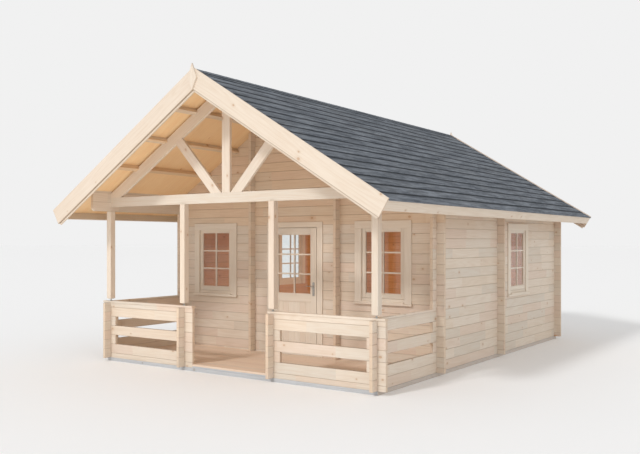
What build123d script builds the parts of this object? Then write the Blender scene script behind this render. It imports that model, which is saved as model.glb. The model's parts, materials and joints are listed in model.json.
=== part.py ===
from build123d import *
import os
from math import ceil, cos, floor, radians, sin, tan

# A log cabin with a roofed front porch, in millimetres. X runs across the gable, Y from the
# porch to the back wall, Z up. The origin is on the ground under the middle of the roof.

# Logs: every wall is a stack of planed logs with bevelled joints. The logs that run
# front to back start on the base; those that run across start half a log lower.
log_thickness = 44.0
log_pitch = 145.0
log_joint_bevel = 5.0
log_end_length = 115.0
side_end_length = 120.0
inner_end_length = 110.0
left_entrance_end_length = 165.0
right_entrance_end_length = 50.0
plate_end_length = 350.0
plate_end_radius = 55.0
notch_clearance = 0.3

# Heights counted in log courses.
side_courses = 18
plate_courses = 2
head_courses = 14.5
sill_courses = 6.5
tie_courses = 16.5
rail_courses = 6
front_rail_rows = ((0, 1.5), (2.5, 3.5), (4.5, 6))
side_rail_rows = ((0, 2), (3, 4), (5, 6))

# Plan: distances between the middle planes of the walls, the porch rail and the log columns.
side_line = 2460.0
column_line = 835.0
porch_depth = 1629.0
house_depth = 5123.0
stiffener_distance = 2227.0
side_window_distance = 1992.0
front_window_shift = 35.0

# Base and floors.
base_height = 50.0
base_width = 70.0
joist_height = 70.0
joist_width = 45.0
joist_spacing = 600.0
floor_thickness = 28.0

# Roof: the slope, how far it reaches past the walls, and the layers on it.
roof_angle = 31.6
roof_lift = 14.6
eave_overhang = 535.0
porch_overhang = 680.0
back_overhang = 588.0
deck_thickness = 19.0
shingle_exposure = 217.0
shingle_head = 5.0
shingle_butt = 10.0
shingle_overhang = 20.0
ridge_cap_width = 150.0
ridge_cap_thickness = 5.0
bargeboard_width = 252.0
bargeboard_thickness = 20.0
bargeboard_upstand = 42.0
batten_depth = 55.0
batten_thickness = 22.0
batten_drop = 28.0
ridge_plate_half_width = 80.0
ridge_plate_thickness = 22.0
ridge_plate_rise = 53.0
ridge_plate_drop = 7.0
ridge_plate_widest = 161.0
eave_board_width = 140.0
eave_board_thickness = 18.0

# Roof beams and the truss over the porch rail.
purlin_count = 3
purlin_width = 70.0
purlin_depth = 70.0
ridge_purlin_depth = 145.0
truss_thickness = 44.0
rafter_gap = 33.0
rafter_depth = 170.0
king_post_width = 145.0
strut_width = 145.0
strut_angle = 47.0
strut_foot = 190.0

# Porch posts and rails.
post_width = 95.0
post_gap = 36.0
post_nut_radius = 14.0
post_nut_height = 14.0
post_rod_radius = 8.0
post_plate_width = 60.0
post_plate_thickness = 4.0
rail_cap_thickness = 28.0
rail_cap_width = 72.0

# Windows.
window_width = 800.0
window_stile = 95.0
window_top_rail = 107.5
window_bottom_rail = 127.5
glass_thickness = 6.0
casing_thickness = 18.0
casing_width = 115.0
casing_lap = 80.0
head_casing_lap = 47.5
sill_thickness = 30.0
sill_depth = 40.0
sill_lap = 15.0

# Door, with its hinges and handle.
door_opening_width = 960.0
jamb_width = 40.0
door_casing_lap = 65.0
stop_width = 20.0
stop_gap = 5.0
threshold_height = 30.0
door_gap = 7.0
leaf_thickness = 40.0
door_stile = 105.0
door_top_rail = 95.5
door_glass_rise = 925.0
panel_recess = 8.0
panel_bottom_rail = 160.0
panel_top_rail = 110.0
plank_width = 109.0
plank_groove = 6.0
plank_groove_depth = 2.0
hinge_radius = 8.0
hinge_stand_off = 9.0
hinge_inset = 245.0
hinge_half_height = 40.0
hinge_gap = 0.4
hinge_pin_radius = 4.0
hinge_pin_clearance = 0.3
hinge_pin_length = 30.0
hinge_leaf_width = 40.0
hinge_leaf_thickness = 2.5
handle_plate_width = 38.0
handle_plate_height = 212.0
handle_plate_drop = 151.0
handle_plate_thickness = 6.0
handle_lever_rise = 1060.0
handle_lever_length = 115.0
handle_lever_thickness = 14.0
handle_neck_length = 34.0
handle_neck_radius = 9.0
handle_spindle_width = 9.0
handle_spindle_clearance = 0.3

# Flat sides of a thin round bar.
bar_sides = 12

# Lengths past everything, for cutting shapes.
far = 6000.0
overshoot = 1.0

# Heights worked out from the sizes above.
half_log = log_thickness / 2
notch_depth = log_pitch / 4
wall_height = base_height + side_courses * log_pitch
wall_top = wall_height + log_pitch
plate_bottom = wall_height - plate_courses * log_pitch
opening_head = base_height + head_courses * log_pitch
opening_sill = base_height + sill_courses * log_pitch
column_joint = base_height + ceil(head_courses) * log_pitch
tie_bottom = base_height + tie_courses * log_pitch
tie_top = tie_bottom + log_pitch
rail_top = base_height + rail_courses * log_pitch
cap_top = rail_top + rail_cap_thickness
floor_top = joist_height + floor_thickness
slope = radians(roof_angle)
ridge_height = wall_height + roof_lift + side_line * tan(slope)
slope_length = (side_line + eave_overhang) / cos(slope)
rafter_drop = (rafter_gap + rafter_depth) / cos(slope)

# Places worked out from the sizes above.
roof_half_length = (porch_overhang + porch_depth + house_depth + back_overhang) / 2
inner_roof_end = roof_half_length - bargeboard_thickness
porch_line = porch_overhang - roof_half_length
front_line = porch_line + porch_depth
back_line = front_line + house_depth
stiffener_line = front_line + stiffener_distance
front_face = front_line - half_log
side_face = side_line + half_log
front_log_end = front_face - log_end_length
back_log_end = back_line + half_log + log_end_length
side_log_end = side_face + side_end_length
porch_log_end = porch_line - half_log - log_end_length
porch_inner_end = porch_line + half_log + inner_end_length
tie_end = side_face + inner_end_length
entrance_left = -column_line + half_log + left_entrance_end_length
entrance_right = column_line - half_log - right_entrance_end_length


def roof_z(x):
    """Height of the deck's underside above a place across the roof."""
    return ridge_height - abs(x) * tan(slope)


def box(x_range, y_range, z_range):
    """A box between two places along each axis."""
    spans = (x_range, y_range, z_range)
    middle = [(low + high) / 2 for low, high in spans]
    return Pos(*middle) * Box(*[high - low for low, high in spans])


def prism_y(points, y_from, y_to):
    """An outline of (x, z) points carried from front to back."""
    outline = Polyline(*[(x, y_from, z) for x, z in points], close=True)
    return extrude(make_face(outline.edges()), amount=y_to - y_from, dir=(0, 1, 0))


def prism_x(points, x_from, x_to):
    """An outline of (y, z) points carried across."""
    outline = Polyline(*[(x_from, y, z) for y, z in points], close=True)
    return extrude(make_face(outline.edges()), amount=x_to - x_from, dir=(1, 0, 0))


def slope_points(side, corners):
    """Places (along the slope, above the deck's underside) turned into (x, z) points."""
    return [
        (side * (u * cos(slope) + n * sin(slope)), ridge_height - u * sin(slope) + n * cos(slope))
        for u, n in corners
    ]


def joint_heights(z_from, z_to, first_joint):
    """Heights of the joints between the logs inside a stack."""
    first = ceil((z_from + log_joint_bevel - first_joint) / log_pitch)
    last = floor((z_to - log_joint_bevel - first_joint) / log_pitch)
    return [first_joint + course * log_pitch for course in range(first, last + 1)]


def log_face(edge, side, z_from, z_to, first_joint, bevelled):
    """One face of stacked logs from below upwards, with a bevelled joint at each course."""
    points = [(edge, z_from)]
    if side in bevelled:
        for joint in joint_heights(z_from, z_to, first_joint):
            points.append((edge, joint - log_joint_bevel))
            points.append((edge - side * log_joint_bevel, joint))
            points.append((edge, joint + log_joint_bevel))
    return points + [(edge, z_to)]


def log_outline(line, z_from, z_to, first_joint, bevelled):
    """Section of stacked logs about a middle plane, bevelled on the faces named by their sides."""
    right = log_face(line + half_log, 1, z_from, z_to, first_joint, bevelled)
    left = log_face(line - half_log, -1, z_from, z_to, first_joint, bevelled)
    return right + left[::-1]


def logs_y(line, y_from, y_to, z_from, z_to, bevelled):
    """Logs that run front to back, stacked between two heights."""
    return prism_y(log_outline(line, z_from, z_to, base_height, bevelled), y_from, y_to)


def logs_x(line, x_from, x_to, z_from, z_to, bevelled):
    """Logs that run across, stacked between two heights, half a log off the others."""
    first_joint = base_height + log_pitch / 2
    return prism_x(log_outline(line, z_from, z_to, first_joint, bevelled), x_from, x_to)


def slabs(first, thickness, z_from, z_to):
    """The heights that one set of logs keeps where it crosses the other, one for each course."""
    found = []
    start = first
    while start < z_to:
        low = max(start, z_from)
        high = min(start + thickness, z_to)
        if high > low:
            found.append((low, high))
        start += log_pitch
    return found


def crossing(x_line, y_line, x_reach, y_reach, heights):
    """Cutting boxes at one crossing of two log walls."""
    x_range = (x_line - x_reach, x_line + x_reach)
    y_range = (y_line - y_reach, y_line + y_reach)
    return [box(x_range, y_range, z_range) for z_range in heights]


def cross_log_cuts(x_line, y_line, z_from, z_to):
    """What the logs that run across take out of those that run front to back."""
    heights = slabs(base_height - notch_depth, 2 * notch_depth, z_from, z_to)
    return crossing(x_line, y_line, half_log + overshoot, half_log + notch_clearance, heights)


def side_log_cuts(x_line, y_line, z_from, z_to):
    """What the logs that run front to back take out of those that run across."""
    heights = slabs(base_height + notch_depth, log_pitch - 2 * notch_depth, z_from, z_to)
    return crossing(x_line, y_line, half_log + notch_clearance, half_log + overshoot, heights)


def above_roof(drop=0):
    """All that lies above the deck's underside, or above a plane some way below it."""
    low = roof_z(far) - drop
    peak = ridge_height - drop
    return prism_y([(-far, low), (0, peak), (far, low), (far, 2 * far), (-far, 2 * far)], -far, far)


def slope_board(side, corners, y_from, y_to):
    """A board of one roof slope from its section."""
    return prism_y(slope_points(side, corners), y_from, y_to)


def round_bar(radius, length):
    """A thin round bar from the ground plane upwards, with a few flat sides."""
    return extrude(RegularPolygon(radius, bar_sides), length)


def wall_opening(width, line, z_from, z_to):
    """A hole through a wall that runs across."""
    return box((line - width / 2, line + width / 2), (-far, far), (z_from, z_to))


# Walls


def side_wall(side):
    """Side wall: crossed log ends, a window hole, stiffening short logs, long plate logs at the back."""
    line = side * side_line
    parts = [
        logs_y(line, front_log_end, back_log_end, base_height, wall_top, (side,)),
        long_plate_end(side, back_log_end, back_line + half_log + plate_end_length),
        stiffener_logs(side),
    ]
    hole_x = (line - log_thickness, line + log_thickness)
    hole_middle = back_line - side_window_distance
    hole_y = (hole_middle - window_width / 2, hole_middle + window_width / 2)
    cuts = [box(hole_x, hole_y, (opening_sill, opening_head)), above_roof()]
    for y_line in (front_line, back_line):
        cuts += cross_log_cuts(line, y_line, base_height, wall_top)
    return parts[0] + parts[1:] - cuts


def long_plate_end(side, root, tip):
    """The top logs carried on under the roof, with a rounded lower corner at their tip."""
    line = side * side_line
    low, high = sorted((root, tip))
    logs = logs_y(line, low, high, plate_bottom, wall_top, (side,))
    centre_y = tip - plate_end_radius if tip > root else tip + plate_end_radius
    centre_z = plate_bottom + plate_end_radius
    x_range = (line - log_thickness, line + log_thickness)
    corner = box(x_range, sorted((centre_y, tip)), (plate_bottom, centre_z))
    round_place = Pos(line, centre_y, centre_z) * Rot(0, 90, 0)
    corner_bar = round_place * Cylinder(plate_end_radius, 2 * log_thickness)
    return logs - (corner - corner_bar)


def stiffener_logs(side):
    """Short logs stacked across a side wall, with jointed ends outside and plain ends inside."""
    outer = sorted((side * side_line, side * side_log_end))
    inner = sorted((side * side_line, side * (side_line - half_log - inner_end_length)))
    y_range = (stiffener_line - half_log, stiffener_line + half_log)
    inner_part = box(inner, y_range, (base_height, wall_top))
    return logs_x(stiffener_line, *outer, base_height, wall_top, (-1,)) + inner_part


def column_logs(side, z_from, z_to):
    """Short logs stacked through the front wall beside the door, with plain ends inside."""
    line = side * column_line
    y_range = (front_line, front_line + half_log + inner_end_length)
    inner = box((line - half_log, line + half_log), y_range, (z_from, z_to))
    return logs_y(line, front_log_end, front_line, z_from, z_to, (side,)) + inner


def cross_wall(y_line, outward, z_from, z_to):
    """The logs of a wall that runs across, with both its log ends."""
    return logs_x(y_line, -side_log_end, side_log_end, z_from, z_to, (outward,))


def front_wall(side):
    """Front wall beside the door, up to the log over the door, with its window hole and column."""
    logs = cross_wall(front_line, -1, base_height, opening_head)
    logs += column_logs(side, base_height, column_joint)
    door_edge = side * door_opening_width / 2
    cuts = [box(sorted((door_edge, -side * far)), (-far, far), (0, far))]
    cuts.append(wall_opening(window_width, window_line(side), opening_sill, opening_head))
    cuts += side_log_cuts(side * side_line, front_line, base_height, opening_head)
    cuts += cross_log_cuts(side * column_line, front_line, opening_head, column_joint)
    return logs - cuts


def window_line(side):
    """Place of a front window across the wall, near the middle between column and corner."""
    return side * (column_line + side_line) / 2 - front_window_shift


def purlin_lines():
    """Places of one slope's purlins across the roof, evenly spaced between ridge and wall."""
    return [side_line * step / (purlin_count + 1) for step in range(1, purlin_count + 1)]


def purlin_section(line, clearance=0):
    """Section of a purlin square to the slope, as places along it and above the deck's underside."""
    middle = line / cos(slope)
    low = middle - purlin_width / 2 - clearance
    high = middle + purlin_width / 2 + clearance
    top = overshoot if clearance else 0
    return [(low, -purlin_depth), (high, -purlin_depth), (high, top), (low, top)]


def gable_cuts(y_line, z_from):
    """What the side logs, the purlins and the roof's slope take out of a gable."""
    reach = half_log + notch_clearance
    cuts = [above_roof(), box((-reach, reach), (-far, far), (ridge_purlin_bottom(), ridge_height))]
    for side in (-1, 1):
        cuts += side_log_cuts(side * side_line, y_line, z_from, wall_top)
        for line in purlin_lines():
            cuts.append(slope_board(side, purlin_section(line, notch_clearance), -far, far))
    return cuts


def front_gable():
    """The logs over the door and windows with the tops of the columns, up to the roof."""
    logs = cross_wall(front_line, -1, opening_head, ridge_height)
    logs += [column_logs(side, column_joint, ridge_height) for side in (-1, 1)]
    cuts = gable_cuts(front_line, opening_head)
    for side in (-1, 1):
        cuts += side_log_cuts(side * column_line, front_line, opening_head, column_joint)
    return logs - cuts


def back_wall():
    """The plain back wall with its gable."""
    return cross_wall(back_line, 1, base_height, ridge_height) - gable_cuts(back_line, base_height)


# Base and floors


def base_beams():
    """The treated beams under the walls."""
    half = base_width / 2
    x_outer = (-side_line - half, side_line + half)
    x_inner = (-side_line + half, side_line - half)
    outer = box(x_outer, (porch_line - half, back_line + half), (0, base_height))
    porch_hole = box(x_inner, (porch_line + half, front_line - half), (0, base_height))
    house_hole = box(x_inner, (front_line + half, back_line - half), (0, base_height))
    return outer - [porch_hole, house_hole]


def log_end_places(y_line):
    """The places of the short logs beside the door or the entrance, with clearance."""
    reach = half_log + notch_clearance
    front = y_line - half_log - log_end_length - notch_clearance
    back = y_line + half_log + inner_end_length + notch_clearance
    lines = (-column_line, column_line)
    return [box((line - reach, line + reach), (front, back), (base_height, cap_top)) for line in lines]


def stiffener_places():
    """The places of the short logs inside the side walls, with clearance."""
    reach = half_log + notch_clearance
    inner = side_line - half_log - inner_end_length - notch_clearance
    y_range = (stiffener_line - reach, stiffener_line + reach)
    spans = [sorted((side * inner, side * side_line)) for side in (-1, 1)]
    return [box(x_range, y_range, (base_height, cap_top)) for x_range in spans]


def floor_joists():
    """Joists from front to back under both floors, and the strip under the floor's edge."""
    outermost = side_line - base_width / 2 - joist_width
    gaps = max(1, round(2 * outermost / joist_spacing))
    cuts = log_end_places(front_line) + log_end_places(porch_line) + stiffener_places()
    joists = []
    for low, high in ((porch_line, front_line), (front_line, back_line)):
        y_range = (low + base_width / 2, high - base_width / 2)
        for index in range(gaps + 1):
            middle = -outermost + 2 * outermost * index / gaps
            span = (middle - joist_width / 2, middle + joist_width / 2)
            joists += (box(span, y_range, (0, joist_height)) - cuts).solids()
    strip_y = (porch_line - half_log, porch_line + half_log)
    joists.append(box((entrance_left, entrance_right), strip_y, (base_height, joist_height)).solid())
    return Compound(joists)


def house_floor():
    """Floor boards inside the house, cut round the inner log ends."""
    inside = side_line - half_log
    y_range = (front_line + half_log, back_line - half_log)
    boards = box((-inside, inside), y_range, (joist_height, floor_top))
    return boards - (log_end_places(front_line) + stiffener_places())


def porch_floor():
    """Porch floor boards, carried out over the base beam between the rails."""
    inside = side_line - half_log
    boards = box((-inside, inside), (porch_line + half_log, front_face), (joist_height, floor_top))
    edge_y = (porch_line - half_log, porch_line + half_log)
    boards += box((entrance_left, entrance_right), edge_y, (joist_height, floor_top))
    return boards - (log_end_places(porch_line) + log_end_places(front_line))


# Porch rails


def cap_board(x_range, y_range):
    """A cap board on a rail."""
    return box(x_range, y_range, (rail_top, cap_top))


def front_rail(side):
    """Rail along the front: low panel, middle and top logs, both log end stacks and the cap board."""
    outer = side * side_log_end
    inner = entrance_right if side > 0 else entrance_left
    outer_stack = side * (side_line - half_log - inner_end_length)
    inner_stack = side * (column_line + half_log + inner_end_length)
    parts = [
        logs_x(porch_line, *sorted((outer, outer_stack)), base_height, rail_top, (-1,)),
        logs_x(porch_line, *sorted((inner_stack, inner)), base_height, rail_top, (-1,)),
        logs_y(side * column_line, porch_log_end, porch_inner_end, base_height, rail_top, (side,)),
    ]
    for low, high in front_rail_rows:
        z_range = (base_height + low * log_pitch, base_height + high * log_pitch)
        parts.append(logs_x(porch_line, *sorted((outer_stack, inner_stack)), *z_range, (-1,)))
    half = rail_cap_width / 2
    cap = cap_board(sorted((inner, outer)), (porch_line - half, porch_line + half))
    cuts = side_log_cuts(side * side_line, porch_line, base_height, rail_top)
    return parts[0] + parts[1:] - cuts + cap


def side_rail(side):
    """Rail along a side of the porch, from the corner's log ends to the house wall."""
    line = side * side_line
    stack = logs_y(line, porch_log_end, porch_inner_end, base_height, rail_top, (side,))
    rows = []
    for low, high in side_rail_rows:
        z_range = (base_height + low * log_pitch, base_height + high * log_pitch)
        rows.append(logs_y(line, porch_inner_end, front_log_end, *z_range, (side,)))
    half = rail_cap_width / 2
    cap = cap_board((line - half, line + half), (porch_line + half, front_log_end))
    return stack + rows - cross_log_cuts(line, porch_line, base_height, rail_top) + cap


# Posts, beams and truss


def posts():
    """Square porch posts: the outer two under the side beams, the inner two under the tie beam."""
    half = post_width / 2
    y_range = (porch_line - half, porch_line + half)
    found = []
    for line, top in ((side_line, plate_bottom), (column_line, tie_bottom)):
        for middle in (-line, line):
            post = box((middle - half, middle + half), y_range, (cap_top + post_gap, top))
            found.append(post.solid())
    return Compound(found)


def post_screws():
    """Adjusting screws between the rails and the posts, each a rod and a nut between two plates."""
    half = post_plate_width / 2
    feet = []
    for line in (-side_line, -column_line, column_line, side_line):
        spans = ((line - half, line + half), (porch_line - half, porch_line + half))
        lower = box(*spans, (cap_top, cap_top + post_plate_thickness))
        upper = box(*spans, (cap_top + post_gap - post_plate_thickness, cap_top + post_gap))
        nut = extrude(RegularPolygon(post_nut_radius, 6), post_plate_thickness + post_nut_height)
        shaft = nut + round_bar(post_rod_radius, post_gap)
        feet.append((lower + upper + Pos(line, porch_line, cap_top) * shaft).solid())
    return Compound(feet)


def porch_beam(side):
    """The two top side logs carried on over the porch, notched for the tie beam."""
    line = side * side_line
    root = porch_line - half_log
    beam = logs_y(line, root, front_log_end, plate_bottom, wall_top, (side,))
    beam += long_plate_end(side, root, root - plate_end_length)
    tie_cuts = cross_log_cuts(line, porch_line, tie_bottom + notch_depth, tie_top - notch_depth)
    return beam - [above_roof()] - tie_cuts


def porch_beams():
    """Both side beams of the porch."""
    return Compound([porch_beam(-1).solid(), porch_beam(1).solid()])


def tie_beam():
    """The level beam of the truss, crossed with the side logs."""
    beam = box((-tie_end, tie_end), (porch_line - half_log, porch_line + half_log), (tie_bottom, tie_top))
    cuts = [above_roof()]
    for side in (-1, 1):
        cuts += side_log_cuts(side * side_line, porch_line, tie_bottom, tie_top)
    return beam - cuts


def truss_prism(points):
    """A truss member from its outline."""
    half = truss_thickness / 2
    return prism_y(points, porch_line - half, porch_line + half)


def ridge_purlin_bottom():
    """Height of the ridge beam's underside, on the king post."""
    return roof_z(half_log) - ridge_purlin_depth


def king_post():
    """The upright of the truss, with a tongue between the rafters up to the ridge beam."""
    half = king_post_width / 2
    top = ridge_purlin_bottom()
    body = truss_prism([(-half, tie_top), (half, tie_top), (half, top), (-half, top)])
    body -= above_roof(rafter_drop)
    tongue = truss_prism([(-half_log, tie_top), (half_log, tie_top), (half_log, top), (-half_log, top)])
    return body + tongue


def strut(side):
    """A sloping brace from the foot of the king post to a rafter."""
    lean = radians(strut_angle)
    across = strut_width / sin(lean) / 2
    run = (ridge_height - tie_top) / tan(lean)
    points = [
        (side * (strut_foot - across), tie_top),
        (side * (strut_foot + across), tie_top),
        (side * (strut_foot + across + run), ridge_height),
        (side * (strut_foot - across + run), ridge_height),
    ]
    half = king_post_width / 2
    post_place = box((-half, half), (porch_line - half, porch_line + half), (tie_top, ridge_height))
    return truss_prism(points) - [above_roof(rafter_drop), post_place]


def struts():
    """Both braces."""
    return Compound([strut(-1).solid(), strut(1).solid()])


def rafter(side):
    """A truss rafter seated on the tie beam, notched for the purlins that lie on it."""
    inner = side_line - half_log
    seat = (ridge_height - rafter_drop - tie_top) / tan(slope)
    top_drop = rafter_gap / cos(slope)
    points = [
        (side * half_log, roof_z(half_log) - top_drop),
        (side * inner, roof_z(inner) - top_drop),
        (side * inner, tie_top),
        (side * seat, tie_top),
        (side * half_log, roof_z(half_log) - rafter_drop),
    ]
    y_range = (porch_line - log_thickness, porch_line + log_thickness)
    sections = [purlin_section(line, notch_clearance) for line in purlin_lines()]
    return truss_prism(points) - [slope_board(side, section, *y_range) for section in sections]


def rafters():
    """Both rafters, one on each side of the ridge beam."""
    return Compound([rafter(-1).solid(), rafter(1).solid()])


def purlins(side):
    """The beams under one slope, square to it, from bargeboard to bargeboard."""
    beams = [
        slope_board(side, purlin_section(line), -inner_roof_end, inner_roof_end)
        for line in purlin_lines()
    ]
    return Compound([beam.solid() for beam in beams])


def ridge_purlin():
    """The ridge beam."""
    points = [
        (-half_log, ridge_purlin_bottom()),
        (half_log, ridge_purlin_bottom()),
        (half_log, roof_z(half_log)),
        (0, ridge_height),
        (-half_log, roof_z(half_log)),
    ]
    return prism_y(points, -inner_roof_end, inner_roof_end)


# Roof


def one_side(side, shape):
    """Keep what lies on one side of the ridge's middle plane."""
    return shape & box(sorted((0, side * far)), (-far, far), (-far, 2 * far))


def roof_deck(side):
    """The boards of one roof slope."""
    length = slope_length - eave_board_thickness
    top = deck_thickness
    corners = [(-top, 0), (length, 0), (length, top), (-top, top)]
    return one_side(side, slope_board(side, corners, -inner_roof_end, inner_roof_end))


def shingles(side):
    """Shingle courses of one slope, each thicker at its lower edge."""
    bottom = deck_thickness
    eave = slope_length + shingle_overhang
    upper = []
    edge = eave
    while edge - shingle_exposure > ridge_cap_width:
        upper.append((edge, bottom + shingle_butt))
        edge -= shingle_exposure
        upper.append((edge, bottom + shingle_head))
    upper.append((edge, bottom + shingle_butt))
    upper.append((-bottom - shingle_butt, bottom + shingle_butt))
    corners = [(-bottom - shingle_butt, bottom), (eave, bottom)] + upper
    return one_side(side, slope_board(side, corners, -inner_roof_end, inner_roof_end))


def ridge_cap():
    """The folded strip over the ridge."""
    low = deck_thickness + shingle_butt
    high = low + ridge_cap_thickness
    corners = [(-high, low), (ridge_cap_width, low), (ridge_cap_width, high), (-high, high)]
    halves = [
        one_side(side, slope_board(side, corners, -inner_roof_end, inner_roof_end)) for side in (-1, 1)
    ]
    return halves[0] + halves[1]


def bargeboard(side, end):
    """A gable board with the batten behind its lower edge, mitred at the ridge."""
    top = bargeboard_upstand
    low = top - bargeboard_width
    corners = [(-top, low), (slope_length, low), (slope_length, top), (-top, top)]
    board = slope_board(side, corners, *sorted((end * inner_roof_end, end * roof_half_length)))
    batten_low = low - batten_drop
    batten_high = batten_low + batten_depth
    eave = slope_length - eave_board_thickness
    batten_corners = [(-top, batten_low), (eave, batten_low), (eave, batten_high), (-top, batten_high)]
    batten_y = sorted((end * (inner_roof_end - batten_thickness), end * inner_roof_end))
    batten = slope_board(side, batten_corners, *batten_y)
    return one_side(side, board + batten)


def bargeboards(side):
    """The front and back gable boards of one slope."""
    return Compound([bargeboard(side, -1).solid(), bargeboard(side, 1).solid()])


def ridge_plate(end):
    """The diamond board over the joint of two gable boards."""
    low_apex = ridge_height + (bargeboard_upstand - bargeboard_width) / cos(slope)
    high_apex = ridge_height + bargeboard_upstand / cos(slope)
    bottom = low_apex - ridge_plate_drop
    points = [
        (0, bottom),
        (ridge_plate_half_width, bottom + ridge_plate_widest),
        (0, high_apex + ridge_plate_rise),
        (-ridge_plate_half_width, bottom + ridge_plate_widest),
    ]
    y_range = sorted((end * roof_half_length, end * (roof_half_length + ridge_plate_thickness)))
    return prism_y(points, *y_range)


def ridge_plates():
    """The diamond boards at both gables."""
    return Compound([ridge_plate(-1).solid(), ridge_plate(1).solid()])


def eave_board(side):
    """The board along one eave, square to the slope."""
    inner = slope_length - eave_board_thickness
    high = deck_thickness
    low = high - eave_board_width
    corners = [(inner, low), (slope_length, low), (slope_length, high), (inner, high)]
    return slope_board(side, corners, -inner_roof_end, inner_roof_end)


def eave_boards():
    """The boards along both eaves."""
    return Compound([eave_board(-1).solid(), eave_board(1).solid()])


# Windows and door


def ring(outer_x, outer_z, inner_x, inner_z, y_range):
    """A flat frame between two rectangles."""
    return box(outer_x, y_range, outer_z) - box(inner_x, (-far, far), inner_z)


def window_unit():
    """Frame, sash, casings and sill about the middle of a hole, with the wall's face at y = 0."""
    half = window_width / 2
    glass_half = half - window_stile
    glass_z = (opening_sill + window_bottom_rail, opening_head - window_top_rail)
    hole_z = (opening_sill, opening_head)
    parts = [ring((-half, half), hole_z, (-glass_half, glass_half), glass_z, (0, log_thickness))]
    casing_half = half + casing_lap
    inner_half = casing_half - casing_width
    casing_top = opening_head + head_casing_lap
    casing_x = (-casing_half, casing_half)
    for y_range in ((-casing_thickness, 0), (log_thickness, log_thickness + casing_thickness)):
        casing_hole = ((-inner_half, inner_half), (opening_sill, casing_top - casing_width))
        parts.append(ring(casing_x, (opening_sill, casing_top), *casing_hole, y_range))
    sill_half = casing_half + sill_lap
    sill_z = (opening_sill - sill_thickness, opening_sill)
    parts.append(box((-sill_half, sill_half), (-sill_depth, 0), sill_z))
    parts.append(box((-half, half), (-sill_depth, 0), (opening_sill, opening_sill + casing_thickness)))
    return parts[0] + parts[1:]


def window_pane():
    """The glass of one window."""
    half = window_width / 2 - window_stile
    middle = log_thickness / 2
    y_range = (middle - glass_thickness / 2, middle + glass_thickness / 2)
    return box((-half, half), y_range, (opening_sill + window_bottom_rail, opening_head - window_top_rail))


window_places = [
    Pos(window_line(-1), front_face, 0),
    Pos(window_line(1), front_face, 0),
    Pos(-side_face, back_line - side_window_distance, 0) * Rot(0, 0, -90),
    Pos(side_face, back_line - side_window_distance, 0) * Rot(0, 0, 90),
]


def windows():
    """Both front windows and one in each side wall."""
    return Compound([(place * window_unit()).solid() for place in window_places])


def window_glass():
    """All the window panes."""
    return Compound([(place * window_pane()).solid() for place in window_places])


leaf_front = front_face - casing_thickness
leaf_back = leaf_front + leaf_thickness
jamb_face = door_opening_width / 2 - jamb_width
head_face = opening_head - jamb_width
threshold_top = floor_top + threshold_height
leaf_half = jamb_face - door_gap
leaf_bottom = threshold_top + door_gap
leaf_top = head_face - door_gap
glass_half = leaf_half - door_stile
glass_bottom = leaf_bottom + door_glass_rise
glass_top = leaf_top - door_top_rail
hinge_x = -leaf_half - door_gap / 2
hinge_y = leaf_front - hinge_stand_off
hinge_heights = (leaf_bottom + hinge_inset, (leaf_bottom + leaf_top) / 2, leaf_top - hinge_inset)
handle_x = (glass_half + leaf_half) / 2
handle_z = leaf_bottom + handle_lever_rise


def door_frame():
    """Jambs, head, threshold, stop and casings of the doorway."""
    half = door_opening_width / 2
    frame_x = (-half, half)
    frame_z = (base_height, opening_head)
    inner_face = front_face + log_thickness
    stop_x = jamb_face - stop_width
    stop_z = (threshold_top, head_face - stop_width)
    clear_hole = ((-jamb_face, jamb_face), (threshold_top, head_face))
    parts = [
        ring(frame_x, frame_z, *clear_hole, (front_face, inner_face)),
        ring(frame_x, frame_z, (-stop_x, stop_x), stop_z, (leaf_back + stop_gap, inner_face)),
    ]
    casing_x = (-half - door_casing_lap, half + door_casing_lap)
    casing_z = (floor_top, opening_head + head_casing_lap)
    hole_z = (floor_top - overshoot, head_face)
    for y_range in ((leaf_front, front_face), (inner_face, inner_face + casing_thickness)):
        parts.append(ring(casing_x, casing_z, (-jamb_face, jamb_face), hole_z, y_range))
    return parts[0] + parts[1:]


def door_leaf():
    """The door leaf: a glazed upper half over a planked panel."""
    leaf = box((-leaf_half, leaf_half), (leaf_front, leaf_back), (leaf_bottom, leaf_top))
    panel_x = (-glass_half, glass_half)
    panel_z = (leaf_bottom + panel_bottom_rail, glass_bottom - panel_top_rail)
    cuts = [wall_opening(2 * glass_half, 0, glass_bottom, glass_top)]
    for y_range in ((leaf_front, leaf_front + panel_recess), (leaf_back - panel_recess, leaf_back)):
        cuts.append(box(panel_x, y_range, panel_z))
    plank_count = round(2 * glass_half / plank_width)
    for index in range(1, plank_count):
        middle = -glass_half + 2 * glass_half * index / plank_count
        groove_x = (middle - plank_groove / 2, middle + plank_groove / 2)
        for face in (leaf_front + panel_recess, leaf_back - panel_recess):
            groove_y = (face - plank_groove_depth, face + plank_groove_depth)
            cuts.append(box(groove_x, groove_y, panel_z))
    bore = handle_spindle_width + 2 * handle_spindle_clearance
    cuts.append(wall_opening(bore, handle_x, handle_z - bore / 2, handle_z + bore / 2))
    return leaf - cuts


def door_glass():
    """The pane of the door."""
    middle = (leaf_front + leaf_back) / 2
    y_range = (middle - glass_thickness / 2, middle + glass_thickness / 2)
    return box((-glass_half, glass_half), y_range, (glass_bottom, glass_top))


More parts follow.
